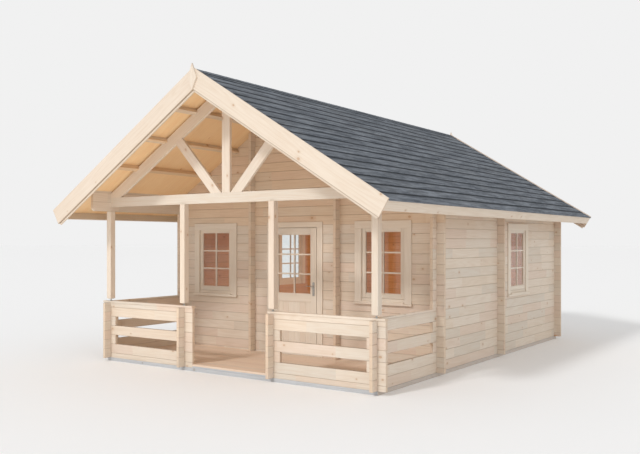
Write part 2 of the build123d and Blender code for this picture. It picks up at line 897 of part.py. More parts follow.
def handle_side(face, outward):
    """Plate, neck and lever on one face of the door."""
    half = handle_plate_width / 2
    plate_bottom_z = handle_z - handle_plate_drop
    plate_z = (plate_bottom_z, plate_bottom_z + handle_plate_height)
    plate_y = sorted((face, face + outward * handle_plate_thickness))
    plate = box((handle_x - half, handle_x + half), plate_y, plate_z)
    neck_place = Pos(handle_x, face, handle_z) * Rot(outward * -90, 0, 0)
    neck = neck_place * round_bar(handle_neck_radius, handle_neck_length)
    lever_near = face + outward * handle_neck_length
    lever_y = sorted((lever_near, lever_near + outward * handle_lever_thickness))
    lever_x = (handle_x - handle_lever_length, handle_x + handle_neck_radius)
    lever = box(lever_x, lever_y, (handle_z - handle_neck_radius, handle_z + handle_neck_radius))
    return plate + [neck, lever]


def door_handle():
    """Lever handle with a plate on each face and a spindle through the leaf."""
    half = handle_spindle_width / 2
    spindle_z = (handle_z - half, handle_z + half)
    spindle = box((handle_x - half, handle_x + half), (leaf_front, leaf_back), spindle_z)
    return spindle + [handle_side(leaf_front, -1), handle_side(leaf_back, 1)]


def hinge_barrel(radius, z_from, z_to):
    """A round bar on the hinge axis."""
    return Pos(hinge_x, hinge_y, z_from) * round_bar(radius, z_to - z_from)


def hinge_flap(side, z_from, z_to):
    """Flat flap of a hinge on the casing or on the leaf."""
    x_range = sorted((hinge_x, hinge_x + side * hinge_leaf_width))
    return box(x_range, (leaf_front - hinge_leaf_thickness, leaf_front), (z_from, z_to))


def frame_hinges():
    """Lower hinge halves on the frame, with their pins."""
    halves = []
    for height in hinge_heights:
        low = height - hinge_half_height
        barrel = hinge_barrel(hinge_radius, low, height)
        pin = hinge_barrel(hinge_pin_radius, low, height + hinge_pin_length)
        halves.append((barrel + [pin, hinge_flap(-1, low, height)]).solid())
    return Compound(halves)


def leaf_hinges():
    """Upper hinge halves on the leaf, bored for the pins."""
    halves = []
    for height in hinge_heights:
        low = height + hinge_gap
        high = low + hinge_half_height
        barrel = hinge_barrel(hinge_radius, low, high)
        bore_radius = (hinge_pin_radius + hinge_pin_clearance) / cos(radians(180 / bar_sides))
        bore = hinge_barrel(bore_radius, low, height + hinge_pin_length + hinge_pin_clearance)
        halves.append((barrel + hinge_flap(1, low, high) - bore).solid())
    return Compound(halves)


os.makedirs("parts", exist_ok=True)

pieces = {
    "base_beams": base_beams(),
    "floor_joists": floor_joists(),
    "house_floor": house_floor(),
    "porch_floor": porch_floor(),
    "left_wall": side_wall(-1),
    "right_wall": side_wall(1),
    "front_wall_left": front_wall(-1),
    "front_wall_right": front_wall(1),
    "front_gable": front_gable(),
    "back_wall": back_wall(),
    "front_rail_left": front_rail(-1),
    "front_rail_right": front_rail(1),
    "side_rail_left": side_rail(-1),
    "side_rail_right": side_rail(1),
    "posts": posts(),
    "post_screws": post_screws(),
    "porch_beams": porch_beams(),
    "tie_beam": tie_beam(),
    "king_post": king_post(),
    "struts": struts(),
    "rafters": rafters(),
    "ridge_purlin": ridge_purlin(),
    "purlins_left": purlins(-1),
    "purlins_right": purlins(1),
    "roof_deck_left": roof_deck(-1),
    "roof_deck_right": roof_deck(1),
    "shingles_left": shingles(-1),
    "shingles_right": shingles(1),
    "ridge_cap": ridge_cap(),
    "bargeboards_left": bargeboards(-1),
    "bargeboards_right": bargeboards(1),
    "ridge_plates": ridge_plates(),
    "eave_boards": eave_boards(),
    "windows": windows(),
    "window_glass": window_glass(),
    "door_frame": door_frame(),
    "frame_hinges": frame_hinges(),
    "door_leaf": door_leaf(),
    "door_glass": door_glass(),
    "door_handle": door_handle(),
    "leaf_hinges": leaf_hinges(),
}

for name, piece in pieces.items():
    export_step(piece, "parts/" + name + ".step")
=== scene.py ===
"""Looks of a log cabin with a roofed porch: timber finishes, boards, shingles, panes and a studio.

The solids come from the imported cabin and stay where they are. Everything added here is worked out
in the same frame, in metres: X across the gable, Y from the porch to the back wall, Z up.
"""

from __future__ import annotations

import json
import logging
import math
from dataclasses import dataclass, replace
from enum import Enum
from typing import Callable, Sequence

import bpy
import numpy as np
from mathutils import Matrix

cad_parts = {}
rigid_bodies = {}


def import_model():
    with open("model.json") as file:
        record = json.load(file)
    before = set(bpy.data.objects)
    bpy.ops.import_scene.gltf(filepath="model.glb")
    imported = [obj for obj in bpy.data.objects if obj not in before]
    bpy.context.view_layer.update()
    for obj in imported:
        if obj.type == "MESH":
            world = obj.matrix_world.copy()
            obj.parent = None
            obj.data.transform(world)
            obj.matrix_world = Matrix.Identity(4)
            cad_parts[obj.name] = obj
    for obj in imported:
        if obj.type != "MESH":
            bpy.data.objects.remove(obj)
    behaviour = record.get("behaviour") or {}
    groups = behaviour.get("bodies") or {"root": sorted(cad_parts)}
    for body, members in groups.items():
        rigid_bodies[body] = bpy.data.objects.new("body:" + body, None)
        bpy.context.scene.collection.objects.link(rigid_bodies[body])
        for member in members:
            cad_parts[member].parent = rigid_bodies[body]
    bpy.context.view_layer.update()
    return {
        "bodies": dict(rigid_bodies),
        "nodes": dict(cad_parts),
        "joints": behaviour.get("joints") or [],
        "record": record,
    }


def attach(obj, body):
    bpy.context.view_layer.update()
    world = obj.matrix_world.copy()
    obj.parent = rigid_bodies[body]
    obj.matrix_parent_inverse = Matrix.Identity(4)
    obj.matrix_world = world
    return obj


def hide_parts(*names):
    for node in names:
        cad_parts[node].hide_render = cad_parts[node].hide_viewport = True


LOG = logging.getLogger("cabin")
Colour = tuple[float, float, float]
Spot = tuple[float, float, float]
Span = tuple[float, float]
Array = np.ndarray
Rng = np.random.Generator
Object = bpy.types.Object
Material = bpy.types.Material
Tree = bpy.types.NodeTree
Node = bpy.types.Node
Socket = bpy.types.NodeSocket
UP: Spot = (0.0, 0.0, 1.0)


@dataclass(frozen=True)
class Sizes:
    """Sizes of the cabin that its looks share, in metres and radians."""

    log: float = 0.044
    pitch: float = 0.145
    base: float = 0.05
    side_line: float = 2.46
    column_line: float = 0.835
    porch_line: float = -3.33
    front_line: float = -1.701
    back_line: float = 3.422
    stiffener_line: float = 0.526
    stub: float = 0.110
    front_stub: float = 0.115
    entrance_left: float = -0.648
    entrance_right: float = 0.763
    rail_top: float = 0.92
    floor_bottom: float = 0.070
    floor_top: float = 0.098
    slope: float = math.radians(31.6)
    wall_height: float = 2.6746
    overhang: float = 0.535
    roof_end: float = 3.99
    deck: float = 0.019
    eave_board: float = 0.018
    gable_low: float = -0.210
    cap_top: float = 0.948

    @property
    def half(self) -> float:
        """Half the thickness of a log."""
        return self.log / 2

    @property
    def ridge(self) -> float:
        """Height of the deck's underside at the ridge."""
        return self.wall_height + self.side_line * math.tan(self.slope)

    @property
    def slope_length(self) -> float:
        """Length of a roof slope from the ridge to the outer face of the eave board."""
        return (self.side_line + self.overhang) / math.cos(self.slope)

    def square_up(self, side: int) -> Array:
        """Unit vector that stands square to the slope of one side."""
        return np.array([side * math.sin(self.slope), 0.0, math.cos(self.slope)])

    def on_slope(self, side: int, along: Array, above: Array, y: Array) -> Array:
        """Points of one roof slope.

        x = side * (along * cos(slope) + above * sin(slope)), z = ridge - along * sin(slope)
        + above * cos(slope), so along runs down the slope and above stands square to it.

        Args:
            side: -1 for the left slope and 1 for the right one.
            along: Distances down the slope from the ridge.
            above: Distances above the deck's underside.
            y: Places from front to back.

        Returns:
            The points, with a last axis of three.
        """
        along, above, y = np.broadcast_arrays(along, above, y)
        x = side * (along * math.cos(self.slope) + above * math.sin(self.slope))
        z = self.ridge - along * math.sin(self.slope) + above * math.cos(self.slope)
        return np.stack([x, y, z], axis=-1)


SIZES = Sizes()


class Run(Enum):
    """The way the grain of a timber runs: its direction and the one across its main face."""

    ALONG_X = ((1.0, 0.0, 0.0), (0.0, 0.0, 1.0))
    ALONG_Y = ((0.0, 1.0, 0.0), (0.0, 0.0, 1.0))
    FLAT_X = ((1.0, 0.0, 0.0), (0.0, 1.0, 0.0))
    UPRIGHT = ((0.0, 0.0, 1.0), (1.0, 0.0, 0.0))
    LEFT_SLOPE = (
        (-math.cos(SIZES.slope), 0.0, -math.sin(SIZES.slope)),
        (-math.sin(SIZES.slope), 0.0, math.cos(SIZES.slope)),
    )
    RIGHT_SLOPE = (
        (math.cos(SIZES.slope), 0.0, -math.sin(SIZES.slope)),
        (math.sin(SIZES.slope), 0.0, math.cos(SIZES.slope)),
    )
    LEFT_BRACE = ((-0.682, 0.0, 0.731), (0.731, 0.0, 0.682))
    RIGHT_BRACE = ((0.682, 0.0, 0.731), (0.731, 0.0, -0.682))

    @property
    def along(self) -> Spot:
        """Direction of the grain."""
        return self.value[0]

    @property
    def across(self) -> Spot:
        """Direction across the main face."""
        return self.value[1]

    @property
    def through(self) -> Spot:
        """Direction through the timber, square to the other two."""
        return tuple(float(v) for v in np.cross(self.along, self.across))


# Node graphs


class Graph:
    """Adds shader nodes to one node tree and joins them."""

    def __init__(self, tree: Tree) -> None:
        """Keeps the material's, world's or group's node tree."""
        self.tree = tree

    def feed(self, socket: Socket, value: object) -> None:
        """Links another socket into a socket, or sets a plain value on it; None leaves it.

        Args:
            socket: The socket that is fed.
            value: What it gets.
        """
        if isinstance(value, Socket):
            self.tree.links.new(value, socket)
        elif value is not None:
            socket.default_value = value

    def node(self, kind: str, *values: object, **settings: object) -> Node:
        """Adds a node.

        Args:
            kind: The node's type name without its ShaderNode prefix.
            values: What its inputs get, in their order.
            settings: Attributes to set on it.

        Returns:
            The new node.
        """
        made = self.tree.nodes.new("ShaderNode" + kind)
        for name, value in settings.items():
            setattr(made, name, value)
        for socket, value in zip(made.inputs, values):
            self.feed(socket, value)
        return made

    def fill(self, node: Node, **values: object) -> Node:
        """Feeds inputs of a node by name.

        Args:
            node: The node.
            values: What the inputs get, with underscores for the spaces in their names.

        Returns:
            The same node.
        """
        for label, value in values.items():
            self.feed(node.inputs[label.replace("_", " ")], value)
        return node

    def maths(self, operation: str, *values: object, clamp: bool = False) -> Socket:
        """One step of arithmetic, kept from 0 to 1 if clamped."""
        return self.node("Math", *values, operation=operation, use_clamp=clamp).outputs[0]

    def times(self, first: object, second: object) -> Socket:
        """The product of two values."""
        return self.maths("MULTIPLY", first, second)

    def plus(self, first: object, second: object, clamp: bool = False) -> Socket:
        """The sum of two values."""
        return self.maths("ADD", first, second, clamp=clamp)

    def less(self, first: object, second: object) -> Socket:
        """The first value less the second."""
        return self.maths("SUBTRACT", first, second)

    def over(self, first: object, second: object) -> Socket:
        """The first value over the second."""
        return self.maths("DIVIDE", first, second)

    def wave(self, angle: object, half: float = 0.5, middle: float = 0.5) -> Socket:
        """Sine of an angle, times a half height, about a middle."""
        return self.maths("MULTIPLY_ADD", self.maths("SINE", angle), half, middle)

    def vectors(self, operation: str, *values: object) -> Node:
        """One step of vector arithmetic, as a node with the outputs Vector and Value."""
        return self.node("VectorMath", *values, operation=operation)

    def join(self, x: object, y: object, z: object) -> Socket:
        """Three values as one vector socket."""
        return self.node("CombineXYZ", x, y, z).outputs[0]

    def split(self, vector: Socket) -> list[Socket]:
        """A vector's three values."""
        return list(self.node("SeparateXYZ", vector).outputs)

    def remap(
        self, value: object, low: object, high: object, start: float = 0.0, end: float = 1.0
    ) -> Socket:
        """Turns the range from low to high into the one from start to end, smoothly and clamped.

        Args:
            value: What is turned.
            low: Where its range starts.
            high: Where it ends.
            start: Start of the new range.
            end: End of the new range.

        Returns:
            The new value's socket.
        """
        spans = (value, low, high, start, end)
        return self.node("MapRange", *spans, interpolation_type="SMOOTHSTEP").outputs[0]

    def mix(self, factor: object, first: object, second: object) -> Socket:
        """Mixes two colours.

        Args:
            factor: How much of the second colour shows.
            first: Colour at factor 0.
            second: Colour at factor 1.

        Returns:
            The mixed colour's socket.
        """
        made = self.node("Mix", factor, data_type="RGBA")
        for socket, colour in ((made.inputs[6], first), (made.inputs[7], second)):
            self.feed(socket, (*colour, 1.0) if isinstance(colour, tuple) else colour)
        return made.outputs[2]

    def noise(
        self, vector: object, scale: float, detail: float = 2.0, rough: float = 0.5
    ) -> Socket:
        """Value of a noise texture, from 0 to 1.

        Args:
            vector: Where it is read.
            scale: Its scale.
            detail: Its finer layers.
            rough: How much they count.

        Returns:
            The value's socket.
        """
        settings = {"Vector": vector, "Scale": scale, "Detail": detail, "Roughness": rough}
        return self.fill(self.node("TexNoise"), **settings).outputs[0]

    def random(self, vector: object) -> Node:
        """White noise of a vector, as a node with the outputs Value and Color."""
        return self.node("TexWhiteNoise", vector, noise_dimensions="3D")

    def group(self, tree: Tree, **values: object) -> bpy.types.NodeOutputs:
        """Places a node group and feeds it by name, and gives its outputs."""
        return self.fill(self.node("Group", node_tree=tree), **values).outputs

    def bump(
        self, shader: Node, strength: float, distance: float, height: Socket,
        under: Socket | None = None,
    ) -> None:
        """Roughens a shader's surface.

        Args:
            shader: The shader.
            strength: How much of it shows.
            distance: Its height in metres.
            height: The pattern.
            under: The normal below it, if that isn't the surface's own.
        """
        settings = {"Strength": strength, "Distance": distance, "Height": height, "Normal": under}
        self.fill(shader, Normal=self.fill(self.node("Bump"), **settings).outputs[0])


def new_group(
    name: str, inputs: dict[str, float | Spot], outputs: Sequence[str]
) -> tuple[Graph, Node, Node]:
    """Starts a shader node group.

    Args:
        name: The group's name.
        inputs: Input names and defaults: a number, or three numbers for a vector.
        outputs: Names of its outputs, all values.

    Returns:
        The group's graph, its input node and its output node.
    """
    tree = bpy.data.node_groups.new(name, "ShaderNodeTree")
    for label, default in inputs.items():
        kind = "NodeSocketVector" if isinstance(default, tuple) else "NodeSocketFloat"
        tree.interface.new_socket(label, in_out="INPUT", socket_type=kind).default_value = default
    for label in outputs:
        tree.interface.new_socket(label, in_out="OUTPUT", socket_type="NodeSocketFloat")
    graph = Graph(tree)
    return graph, tree.nodes.new("NodeGroupInput"), tree.nodes.new("NodeGroupOutput")


def timber_cells() -> Tree:
    """Group that tells one board or log from the next.

    The course is floor((across - first) / width). Along it, blocks of about one length each start
    at a place that is random for the course. Tone and Tint are random for each block, and Joint
    is 1 on the line between two courses and 0 some millimetres off it.

    Returns:
        The group.
    """
    graph, given, made = new_group(
        "timber_cells",
        {"Vector": (0.0, 0.0, 0.0), "Width": 0.145, "First": 0.0, "Block": 2.0, "Line": 0.004},
        ("Tone", "Tint", "Joint"),
    )
    ins = given.outputs
    layer_depth, row_seed, row_slide = 0.4, 3.7, 9.0
    along, across, through = graph.split(ins["Vector"])
    raised = graph.over(graph.less(across, ins["First"]), ins["Width"])
    course = graph.maths("FLOOR", raised)
    layer = graph.maths("FLOOR", graph.over(through, layer_depth))
    row = graph.random(graph.join(course, layer, row_seed)).outputs["Value"]
    shifted = graph.plus(graph.over(along, ins["Block"]), graph.times(row, row_slide))
    block = graph.maths("FLOOR", shifted)
    dice = graph.random(graph.join(course, block, layer)).outputs
    rest = graph.maths("FRACT", raised)
    near = graph.maths("MINIMUM", rest, graph.less(1.0, rest))
    joint = graph.remap(graph.times(near, ins["Width"]), 0.0, ins["Line"], 1.0, 0.0)
    tint = graph.split(dice["Color"])[1]
    graph.fill(made, Tone=dice["Value"], Tint=tint, Joint=joint)
    return graph.tree


def timber_figure() -> Tree:
    """Group that draws planed softwood.

    Streak is fine noise stretched along the grain. Flame is the sine of a smooth noise stretched
    along the grain, which gives long pointed bands. Knots sit one to a cell of a Voronoi grid:
    their distance is measured in metres from the cell's point, and the grain bends round them.

    Returns:
        The group.
    """
    graph, given, made = new_group(
        "timber_figure",
        {"Vector": (0.0, 0.0, 0.0), "Seed": 0.0, "Knots": 0.5, "Knot Size": 0.014, "Bands": 9.0},
        ("Streak", "Flame", "Knot", "Halo"),
    )
    ins = given.outputs
    cell_length, cell_height, cell_turn, seed_step = 0.42, 0.13, 0.7, 37.0
    oval, least_knot, ring_turns, bend = 0.72, 0.35, 22.0, 0.75
    fine_along, fine_across, broad_along, broad_across = 2.2, 110.0, 0.55, 6.5
    along, across, through = graph.split(ins["Vector"])
    moved = graph.times(ins["Seed"], seed_step)
    level = graph.plus(across, graph.times(through, cell_turn))
    cell_x = graph.plus(graph.over(along, cell_length), moved)
    cell_y = graph.plus(graph.over(level, cell_height), moved)
    cell_spot = graph.join(cell_x, cell_y, 0.0)
    cells = graph.node("TexVoronoi", voronoi_dimensions="2D", feature="F1")
    graph.fill(cells, Vector=cell_spot, Scale=1.0, Randomness=0.9)
    away = graph.split(graph.vectors("SUBTRACT", cell_spot, cells.outputs["Position"]).outputs[0])
    step_x = graph.times(away[0], cell_length * oval)
    step_y = graph.times(away[1], cell_height)
    distance = graph.vectors("LENGTH", graph.join(step_x, step_y, 0.0)).outputs["Value"]
    chance = graph.split(cells.outputs["Color"])
    present = graph.maths("LESS_THAN", chance[0], ins["Knots"])
    share = graph.over(distance, graph.times(ins["Knot Size"], graph.plus(chance[1], least_knot)))
    ring = graph.wave(graph.times(share, ring_turns), 0.22, 0.72)
    knot = graph.times(graph.times(graph.remap(share, 0.80, 1.05, 1.0, 0.0), ring), present)
    halo = graph.times(graph.remap(share, 0.8, 3.2, 1.0, 0.0), present)
    bent = graph.less(across, graph.times(graph.times(step_y, halo), bend))
    fine = graph.join(
        graph.plus(graph.times(along, fine_along), moved),
        graph.times(bent, fine_across),
        graph.times(through, fine_across),
    )
    broad = graph.join(
        graph.plus(graph.times(along, broad_along), moved),
        graph.times(bent, broad_across),
        graph.plus(graph.times(through, broad_across), moved),
    )
    streak = graph.noise(fine, 1.0, 3.0, 0.62)
    smooth = graph.noise(broad, 1.0, 1.0, 0.4)
    wave = graph.wave(graph.times(graph.times(smooth, ins["Bands"]), 2 * math.pi))
    flame = graph.maths("POWER", wave, 1.6)
    graph.fill(made, Streak=streak, Flame=flame, Knot=knot, Halo=halo)
    return graph.tree


def weather_marks() -> Tree:
    """Group of dust and stains.

    Stain is soft cloud noise in three sizes, and Splash rises towards the ground: 1 at height 0
    and 0 above the reach, broken up by noise.

    Returns:
        The group.
    """
    graph, given, made = new_group(
        "weather_marks", {"Vector": (0.0, 0.0, 0.0), "Reach": 0.25}, ("Stain", "Splash")
    )
    vector, reach = given.outputs["Vector"], given.outputs["Reach"]
    cloud, speckle, ragged = 1.7, 14.0, 0.08
    stain = graph.remap(graph.noise(vector, cloud, 5.0, 0.6), 0.42, 0.72)
    play = graph.times(graph.noise(vector, speckle, 3.0, 0.6), ragged)
    rise = graph.plus(graph.split(vector)[2], play)
    splash = graph.remap(rise, 0.02, reach, 1.0, 0.0)
    graph.fill(made, Stain=stain, Splash=splash)
    return graph.tree


# Finishes


@dataclass(frozen=True)
class Timber:
    """Finish of planed or treated timber.

    Width is the height of a log or width of a board, first the place of one joint, and block the
    mean length of one tone along it. A finish that follows pieces reads each piece's own UV map,
    in metres along and round it, and its tone attribute.
    """

    name: str
    light: Colour
    warm: Colour
    dark: Colour
    blush: Colour = (0.720, 0.570, 0.475)
    grey: Colour = (0.655, 0.605, 0.530)
    run: Run = Run.ALONG_X
    follows: bool = False
    width: float = 0.145
    first: float = 0.0
    block: float = 2.0
    spread: float = 0.5
    tint: float = 0.55
    figure: float = 0.42
    knots: float = 0.16
    knot_size: float = 0.014
    joint: float = 0.70
    line: float = 0.005
    stain: float = 0.10
    splash: float = 0.0
    arris: float = 0.003
    roughness: float = 0.62
    flame_part: float = 0.35
    blush_range: Span = (0.62, 0.86)
    grey_range: Span = (0.30, 0.08)
    halo: float = 0.30
    knot: float = 0.85
    rough_play: Span = (-0.08, 0.1)
    bump: Span = (0.25, 0.0012)
    pith: float = 0.35
    wobble: Span = (40.0, 0.006)
    ring_shares: Span = (0.30, 0.22)
    knot_shade: Spot = (0.82, 0.64, 0.50)
    seam_shade: float = 0.6
    dust: Colour = (0.30, 0.28, 0.25)
    cut: Colour = (0.66, 0.455, 0.275)
    ring_turns: float = 1500.0

    def build(self, groups: dict[str, Tree]) -> Material:
        """Makes the material.

        Args:
            groups: The shared node groups by name.

        Returns:
            The material.
        """
        material, graph, shader = new_material(self.name)
        spots = graph.node("TexCoord")
        place = spots.outputs["Object"]
        if self.follows:
            vector = graph.node("UVMap", uv_map="grain").outputs[0]
            tone = graph.node("Attribute", attribute_name="tone").outputs["Fac"]
            tint, joint = graph.maths("FRACT", graph.times(tone, 7.13)), 0.0
        else:
            axes = (self.run.along, self.run.across, self.run.through)
            vector = graph.join(
                *[graph.vectors("DOT_PRODUCT", place, axis).outputs["Value"] for axis in axes]
            )
            cells = graph.group(
                groups["cells"], Vector=vector, Width=self.width, First=self.first,
                Block=self.block, Line=self.line,
            )
            tone, tint, joint = cells["Tone"], cells["Tint"], cells["Joint"]
        figure = graph.group(
            groups["figure"], Vector=vector, Seed=tone, Knots=self.knots, Knot_Size=self.knot_size
        )
        marks = graph.group(groups["weather"], Vector=place)
        streak = graph.times(graph.remap(figure["Streak"], 0.35, 0.75), 1 - self.flame_part)
        grain = graph.plus(graph.times(figure["Flame"], self.flame_part), streak)
        knot_colour = tuple(value * share for value, share in zip(self.dark, self.knot_shade))
        seam_colour = tuple(value * self.seam_shade for value in self.dark)
        base = graph.mix(graph.times(tone, self.spread), self.light, self.warm)
        for mask, amount, colour in (
            (graph.remap(tint, *self.blush_range), self.tint, self.blush),
            (graph.remap(tint, *self.grey_range), self.tint, self.grey),
            (grain, self.figure, self.dark),
            (figure["Halo"], self.halo, self.dark),
            (figure["Knot"], self.knot, knot_colour),
            # Joint lines between courses; on the gable boards the one joint line is painted shadow.
            (joint, self.joint, seam_colour),
            (marks["Stain"], self.stain, self.dark),
            (marks["Splash"], self.splash, self.dust),
        ):
            if amount:
                base = graph.mix(graph.times(mask, amount), base, colour)
        rounding = None
        if not self.follows:
            base = self._end_grain(graph, spots, vector, base)
            rounding = graph.node("Bevel", self.arris, samples=4).outputs[0]
        spans = (self.roughness + play for play in self.rough_play)
        rough = graph.remap(figure["Streak"], 0.2, 0.8, *spans)
        graph.fill(shader, Base_Color=base, Roughness=rough)
        height = graph.plus(figure["Streak"], figure["Flame"])
        graph.bump(shader, *self.bump, height, rounding)
        return material

    def _end_grain(
        self, graph: Graph, spots: Node, vector: Socket, base: Socket
    ) -> Socket:
        """Rings on the faces that cut across the grain.

        A face is one where the normal lies along the grain. The rings are the sine of the distance
        from a pith below the timber, with a little noise.

        Args:
            graph: The material's graph.
            spots: Its Texture Coordinate node.
            vector: Places along, across and through the timber.
            base: The colour of the other faces.

        Returns:
            The colour with end grain.
        """
        normal = spots.outputs["Normal"]
        facing = graph.vectors("DOT_PRODUCT", normal, self.run.along).outputs["Value"]
        mask = graph.maths("GREATER_THAN", graph.maths("ABSOLUTE", facing), 0.9)
        _, across, through = graph.split(vector)
        cell = graph.maths("FRACT", graph.over(graph.less(across, self.first), self.width))
        flat = graph.join(graph.times(graph.plus(cell, self.pith), self.width), through, 0.0)
        wobble = graph.times(graph.noise(flat, self.wobble[0]), self.wobble[1])
        away = graph.plus(graph.vectors("LENGTH", flat).outputs["Value"], wobble)
        rings = graph.wave(graph.times(away, self.ring_turns))
        share = graph.plus(graph.times(rings, self.ring_shares[0]), self.ring_shares[1])
        return graph.mix(mask, base, graph.mix(share, base, self.cut))


@dataclass(frozen=True)
class Shingle:
    """Finish of mineral felt shingles: granules, tab tones, long soft streaks and painted butt
    shadows.

    The place in a course is fract((eave - along) / exposure), with along measured down the slope.
    It is 0 at the lower edge of a tab, and 1 under the edge of the tab above, in its painted
    shadow.
    """

    name: str = "felt_shingle"
    pale: Colour = (0.225, 0.250, 0.285)
    deep: Colour = (0.030, 0.040, 0.056)
    # Colour of the painted shadow under the lower edge of each tab.
    shadow_line: Colour = (0.008, 0.011, 0.016)
    exposure: float = 0.217
    dust: Colour = (0.20, 0.20, 0.19)
    eave: float = 3.5364
    roughness: float = 0.88
    row_step: float = 5.3
    down_scale: float = 2.6
    level_scale: float = 1.5
    fine_scale: Spot = (52.0, 7.0, 52.0)
    grit_scale: float = 420.0
    parts: tuple[float, ...] = (0.14, 0.48, 0.30, 0.18)
    bump: Span = (0.5, 0.001)

    def build(self, groups: dict[str, Tree]) -> Material:
        """Makes the material.

        Args:
            groups: The shared node groups by name.

        Returns:
            The material.
        """
        material, graph, shader = new_material(self.name)
        place = graph.node("TexCoord").outputs["Object"]
        tone = graph.node("Attribute", attribute_name="tone").outputs["Fac"]
        x, y, z = graph.split(place)
        down = graph.times(graph.less(SIZES.ridge, z), math.sin(SIZES.slope))
        along = graph.plus(graph.times(graph.maths("ABSOLUTE", x), math.cos(SIZES.slope)), down)
        course = graph.over(graph.less(self.eave, along), self.exposure)
        rest = graph.maths("FRACT", course)
        row = graph.maths("FLOOR", course)
        within = graph.plus(graph.times(row, self.row_step), graph.times(course, self.down_scale))
        stretch = graph.join(within, graph.times(y, self.level_scale), 0.0)
        squeezed = graph.vectors("MULTIPLY", place, self.fine_scale).outputs[0]
        streak = graph.remap(graph.noise(stretch, 1.0, 3.0, 0.65), 0.38, 0.66)
        fine = graph.remap(graph.noise(squeezed, 1.0, 4.0, 0.7), 0.38, 0.64)
        grit = graph.noise(place, self.grit_scale, 2.0, 0.7)
        grain = graph.remap(grit, 0.35, 0.65)
        parts = [graph.times(*pair) for pair in zip((tone, streak, fine, grain), self.parts)]
        shade = graph.plus(graph.plus(parts[0], parts[1]), parts[2])
        shade = graph.plus(shade, parts[3], clamp=True)
        stain = graph.group(groups["weather"], Vector=place)["Stain"]
        base = graph.mix(shade, self.deep, self.pale)
        base = graph.mix(graph.times(stain, 0.15), base, self.dust)
        # Painted shadow: darkens each course towards the edge of the tab above.
        base = graph.mix(graph.times(graph.remap(rest, 0.70, 0.90), 0.92), base, self.shadow_line)
        graph.fill(shader, Base_Color=base, Roughness=self.roughness)
        graph.bump(shader, *self.bump, grit)
        return material


@dataclass(frozen=True)
class Metal:
    """Finish of plated steel or satin nickel, with a fine brushed roughness."""

    name: str
    colour: Colour
    worn: Colour
    roughness: float
    brushing: Spot = (900.0, 900.0, 60.0)

    def build(self, groups: dict[str, Tree]) -> Material:
        """Makes the material.

        Args:
            groups: The shared node groups by name.

        Returns:
            The material.
        """
        material, graph, shader = new_material(self.name)
        place = graph.node("TexCoord").outputs["Object"]
        stain = graph.group(groups["weather"], Vector=place)["Stain"]
        squeezed = graph.vectors("MULTIPLY", place, self.brushing).outputs[0]
        fine = graph.noise(squeezed, 1.0, 2.0)
        rough = graph.remap(fine, 0.2, 0.8, self.roughness - 0.08, self.roughness + 0.08)
        base = graph.mix(graph.times(stain, 0.5), self.colour, self.worn)
        graph.fill(shader, Base_Color=base, Metallic=1.0, Roughness=rough)
        return material


@dataclass(frozen=True)
class Pane:
    """Finish of clear glass, which lets light from the lamps through."""

    name: str = "clear_pane"
    tint: Colour = (0.93, 0.96, 0.96)
    bending: float = 1.45
    film: float = 0.03

    def build(self, groups: dict[str, Tree]) -> Material:
        """Makes the material.

        Args:
            groups: The shared node groups by name.

        Returns:
            The material.
        """
        material, graph, shader = new_material(self.name)
        place = graph.node("TexCoord").outputs["Object"]
        film = graph.group(groups["weather"], Vector=place)["Stain"]
        rough = graph.times(film, self.film)
        graph.fill(shader, Base_Color=(*self.tint, 1.0), IOR=self.bending, Roughness=rough)
        graph.fill(shader, Transmission_Weight=1.0)
        clear = graph.node("BsdfTransparent").outputs[0]
        shadow = graph.node("LightPath").outputs["Is Shadow Ray"]
        blend = graph.node("MixShader", shadow, shader.outputs[0], clear)
        output = next(n for n in material.node_tree.nodes if n.type == "OUTPUT_MATERIAL")
        graph.fill(output, Surface=blend.outputs[0])
        return material


def new_material(name: str) -> tuple[Material, Graph, Node]:
    """Starts a material.

    Args:
        name: Its name.

    Returns:
        The material, its graph and its Principled shader.
    """
    material = bpy.data.materials.new(name)
    material.use_nodes = True
    shader = next(n for n in material.node_tree.nodes if n.type == "BSDF_PRINCIPLED")
    return material, Graph(material.node_tree), shader


SPRUCE: dict[str, Colour] = {
    "light": (0.780, 0.690, 0.588),
    "warm": (0.725, 0.592, 0.455),
    "dark": (0.600, 0.445, 0.308),
}
LACQUERED: dict[str, Colour] = {
    "light": (0.74, 0.43, 0.22),
    "warm": (0.62, 0.33, 0.15),
    "dark": (0.42, 0.20, 0.09),
    "blush": (0.64, 0.33, 0.17),
    "grey": (0.64, 0.40, 0.22),
}
PALE_JOINERY: dict[str, Colour] = {
    "light": (0.805, 0.725, 0.625),
    "warm": (0.755, 0.645, 0.515),
    "dark": (0.625, 0.490, 0.355),
}


def log_finish(name: str, run: Run, **changes: object) -> Timber:
    """Finish of the wall logs, whose joints depend on the way they run.

    Args:
        name: Its name.
        run: The way the logs run.
        changes: Fields that differ from plain spruce.

    Returns:
        The finish.
    """
    first = SIZES.base if run is Run.ALONG_Y else SIZES.base + SIZES.pitch / 2
    settings: dict[str, object] = {**SPRUCE, "run": run, "first": first, "block": 0.95, **changes}
    return Timber(name, **settings)


def gable_finish(name: str, run: Run) -> Timber:
    """Finish of the gable boards, with a painted shadow line at their lower edge, over the batten.

    Args:
        name: Its name.
        run: The way the boards run.

    Returns:
        The finish.
    """
    # Place of the painted shadow line at the boards' lower edge, drawn as their one joint line.
    shadow_line = SIZES.ridge * math.cos(SIZES.slope) + SIZES.gable_low
    return Timber(
        name, **SPRUCE, run=run, width=3.0, first=shadow_line, block=9.0, spread=0.3, joint=0.8, line=0.009
    )


def beam_finish(name: str, run: Run) -> Timber:
    """Finish of a truss timber, in one tone from end to end."""
    return Timber(name, **SPRUCE, run=run, width=0.9, block=9.0, spread=0.3, figure=0.35, joint=0.0)


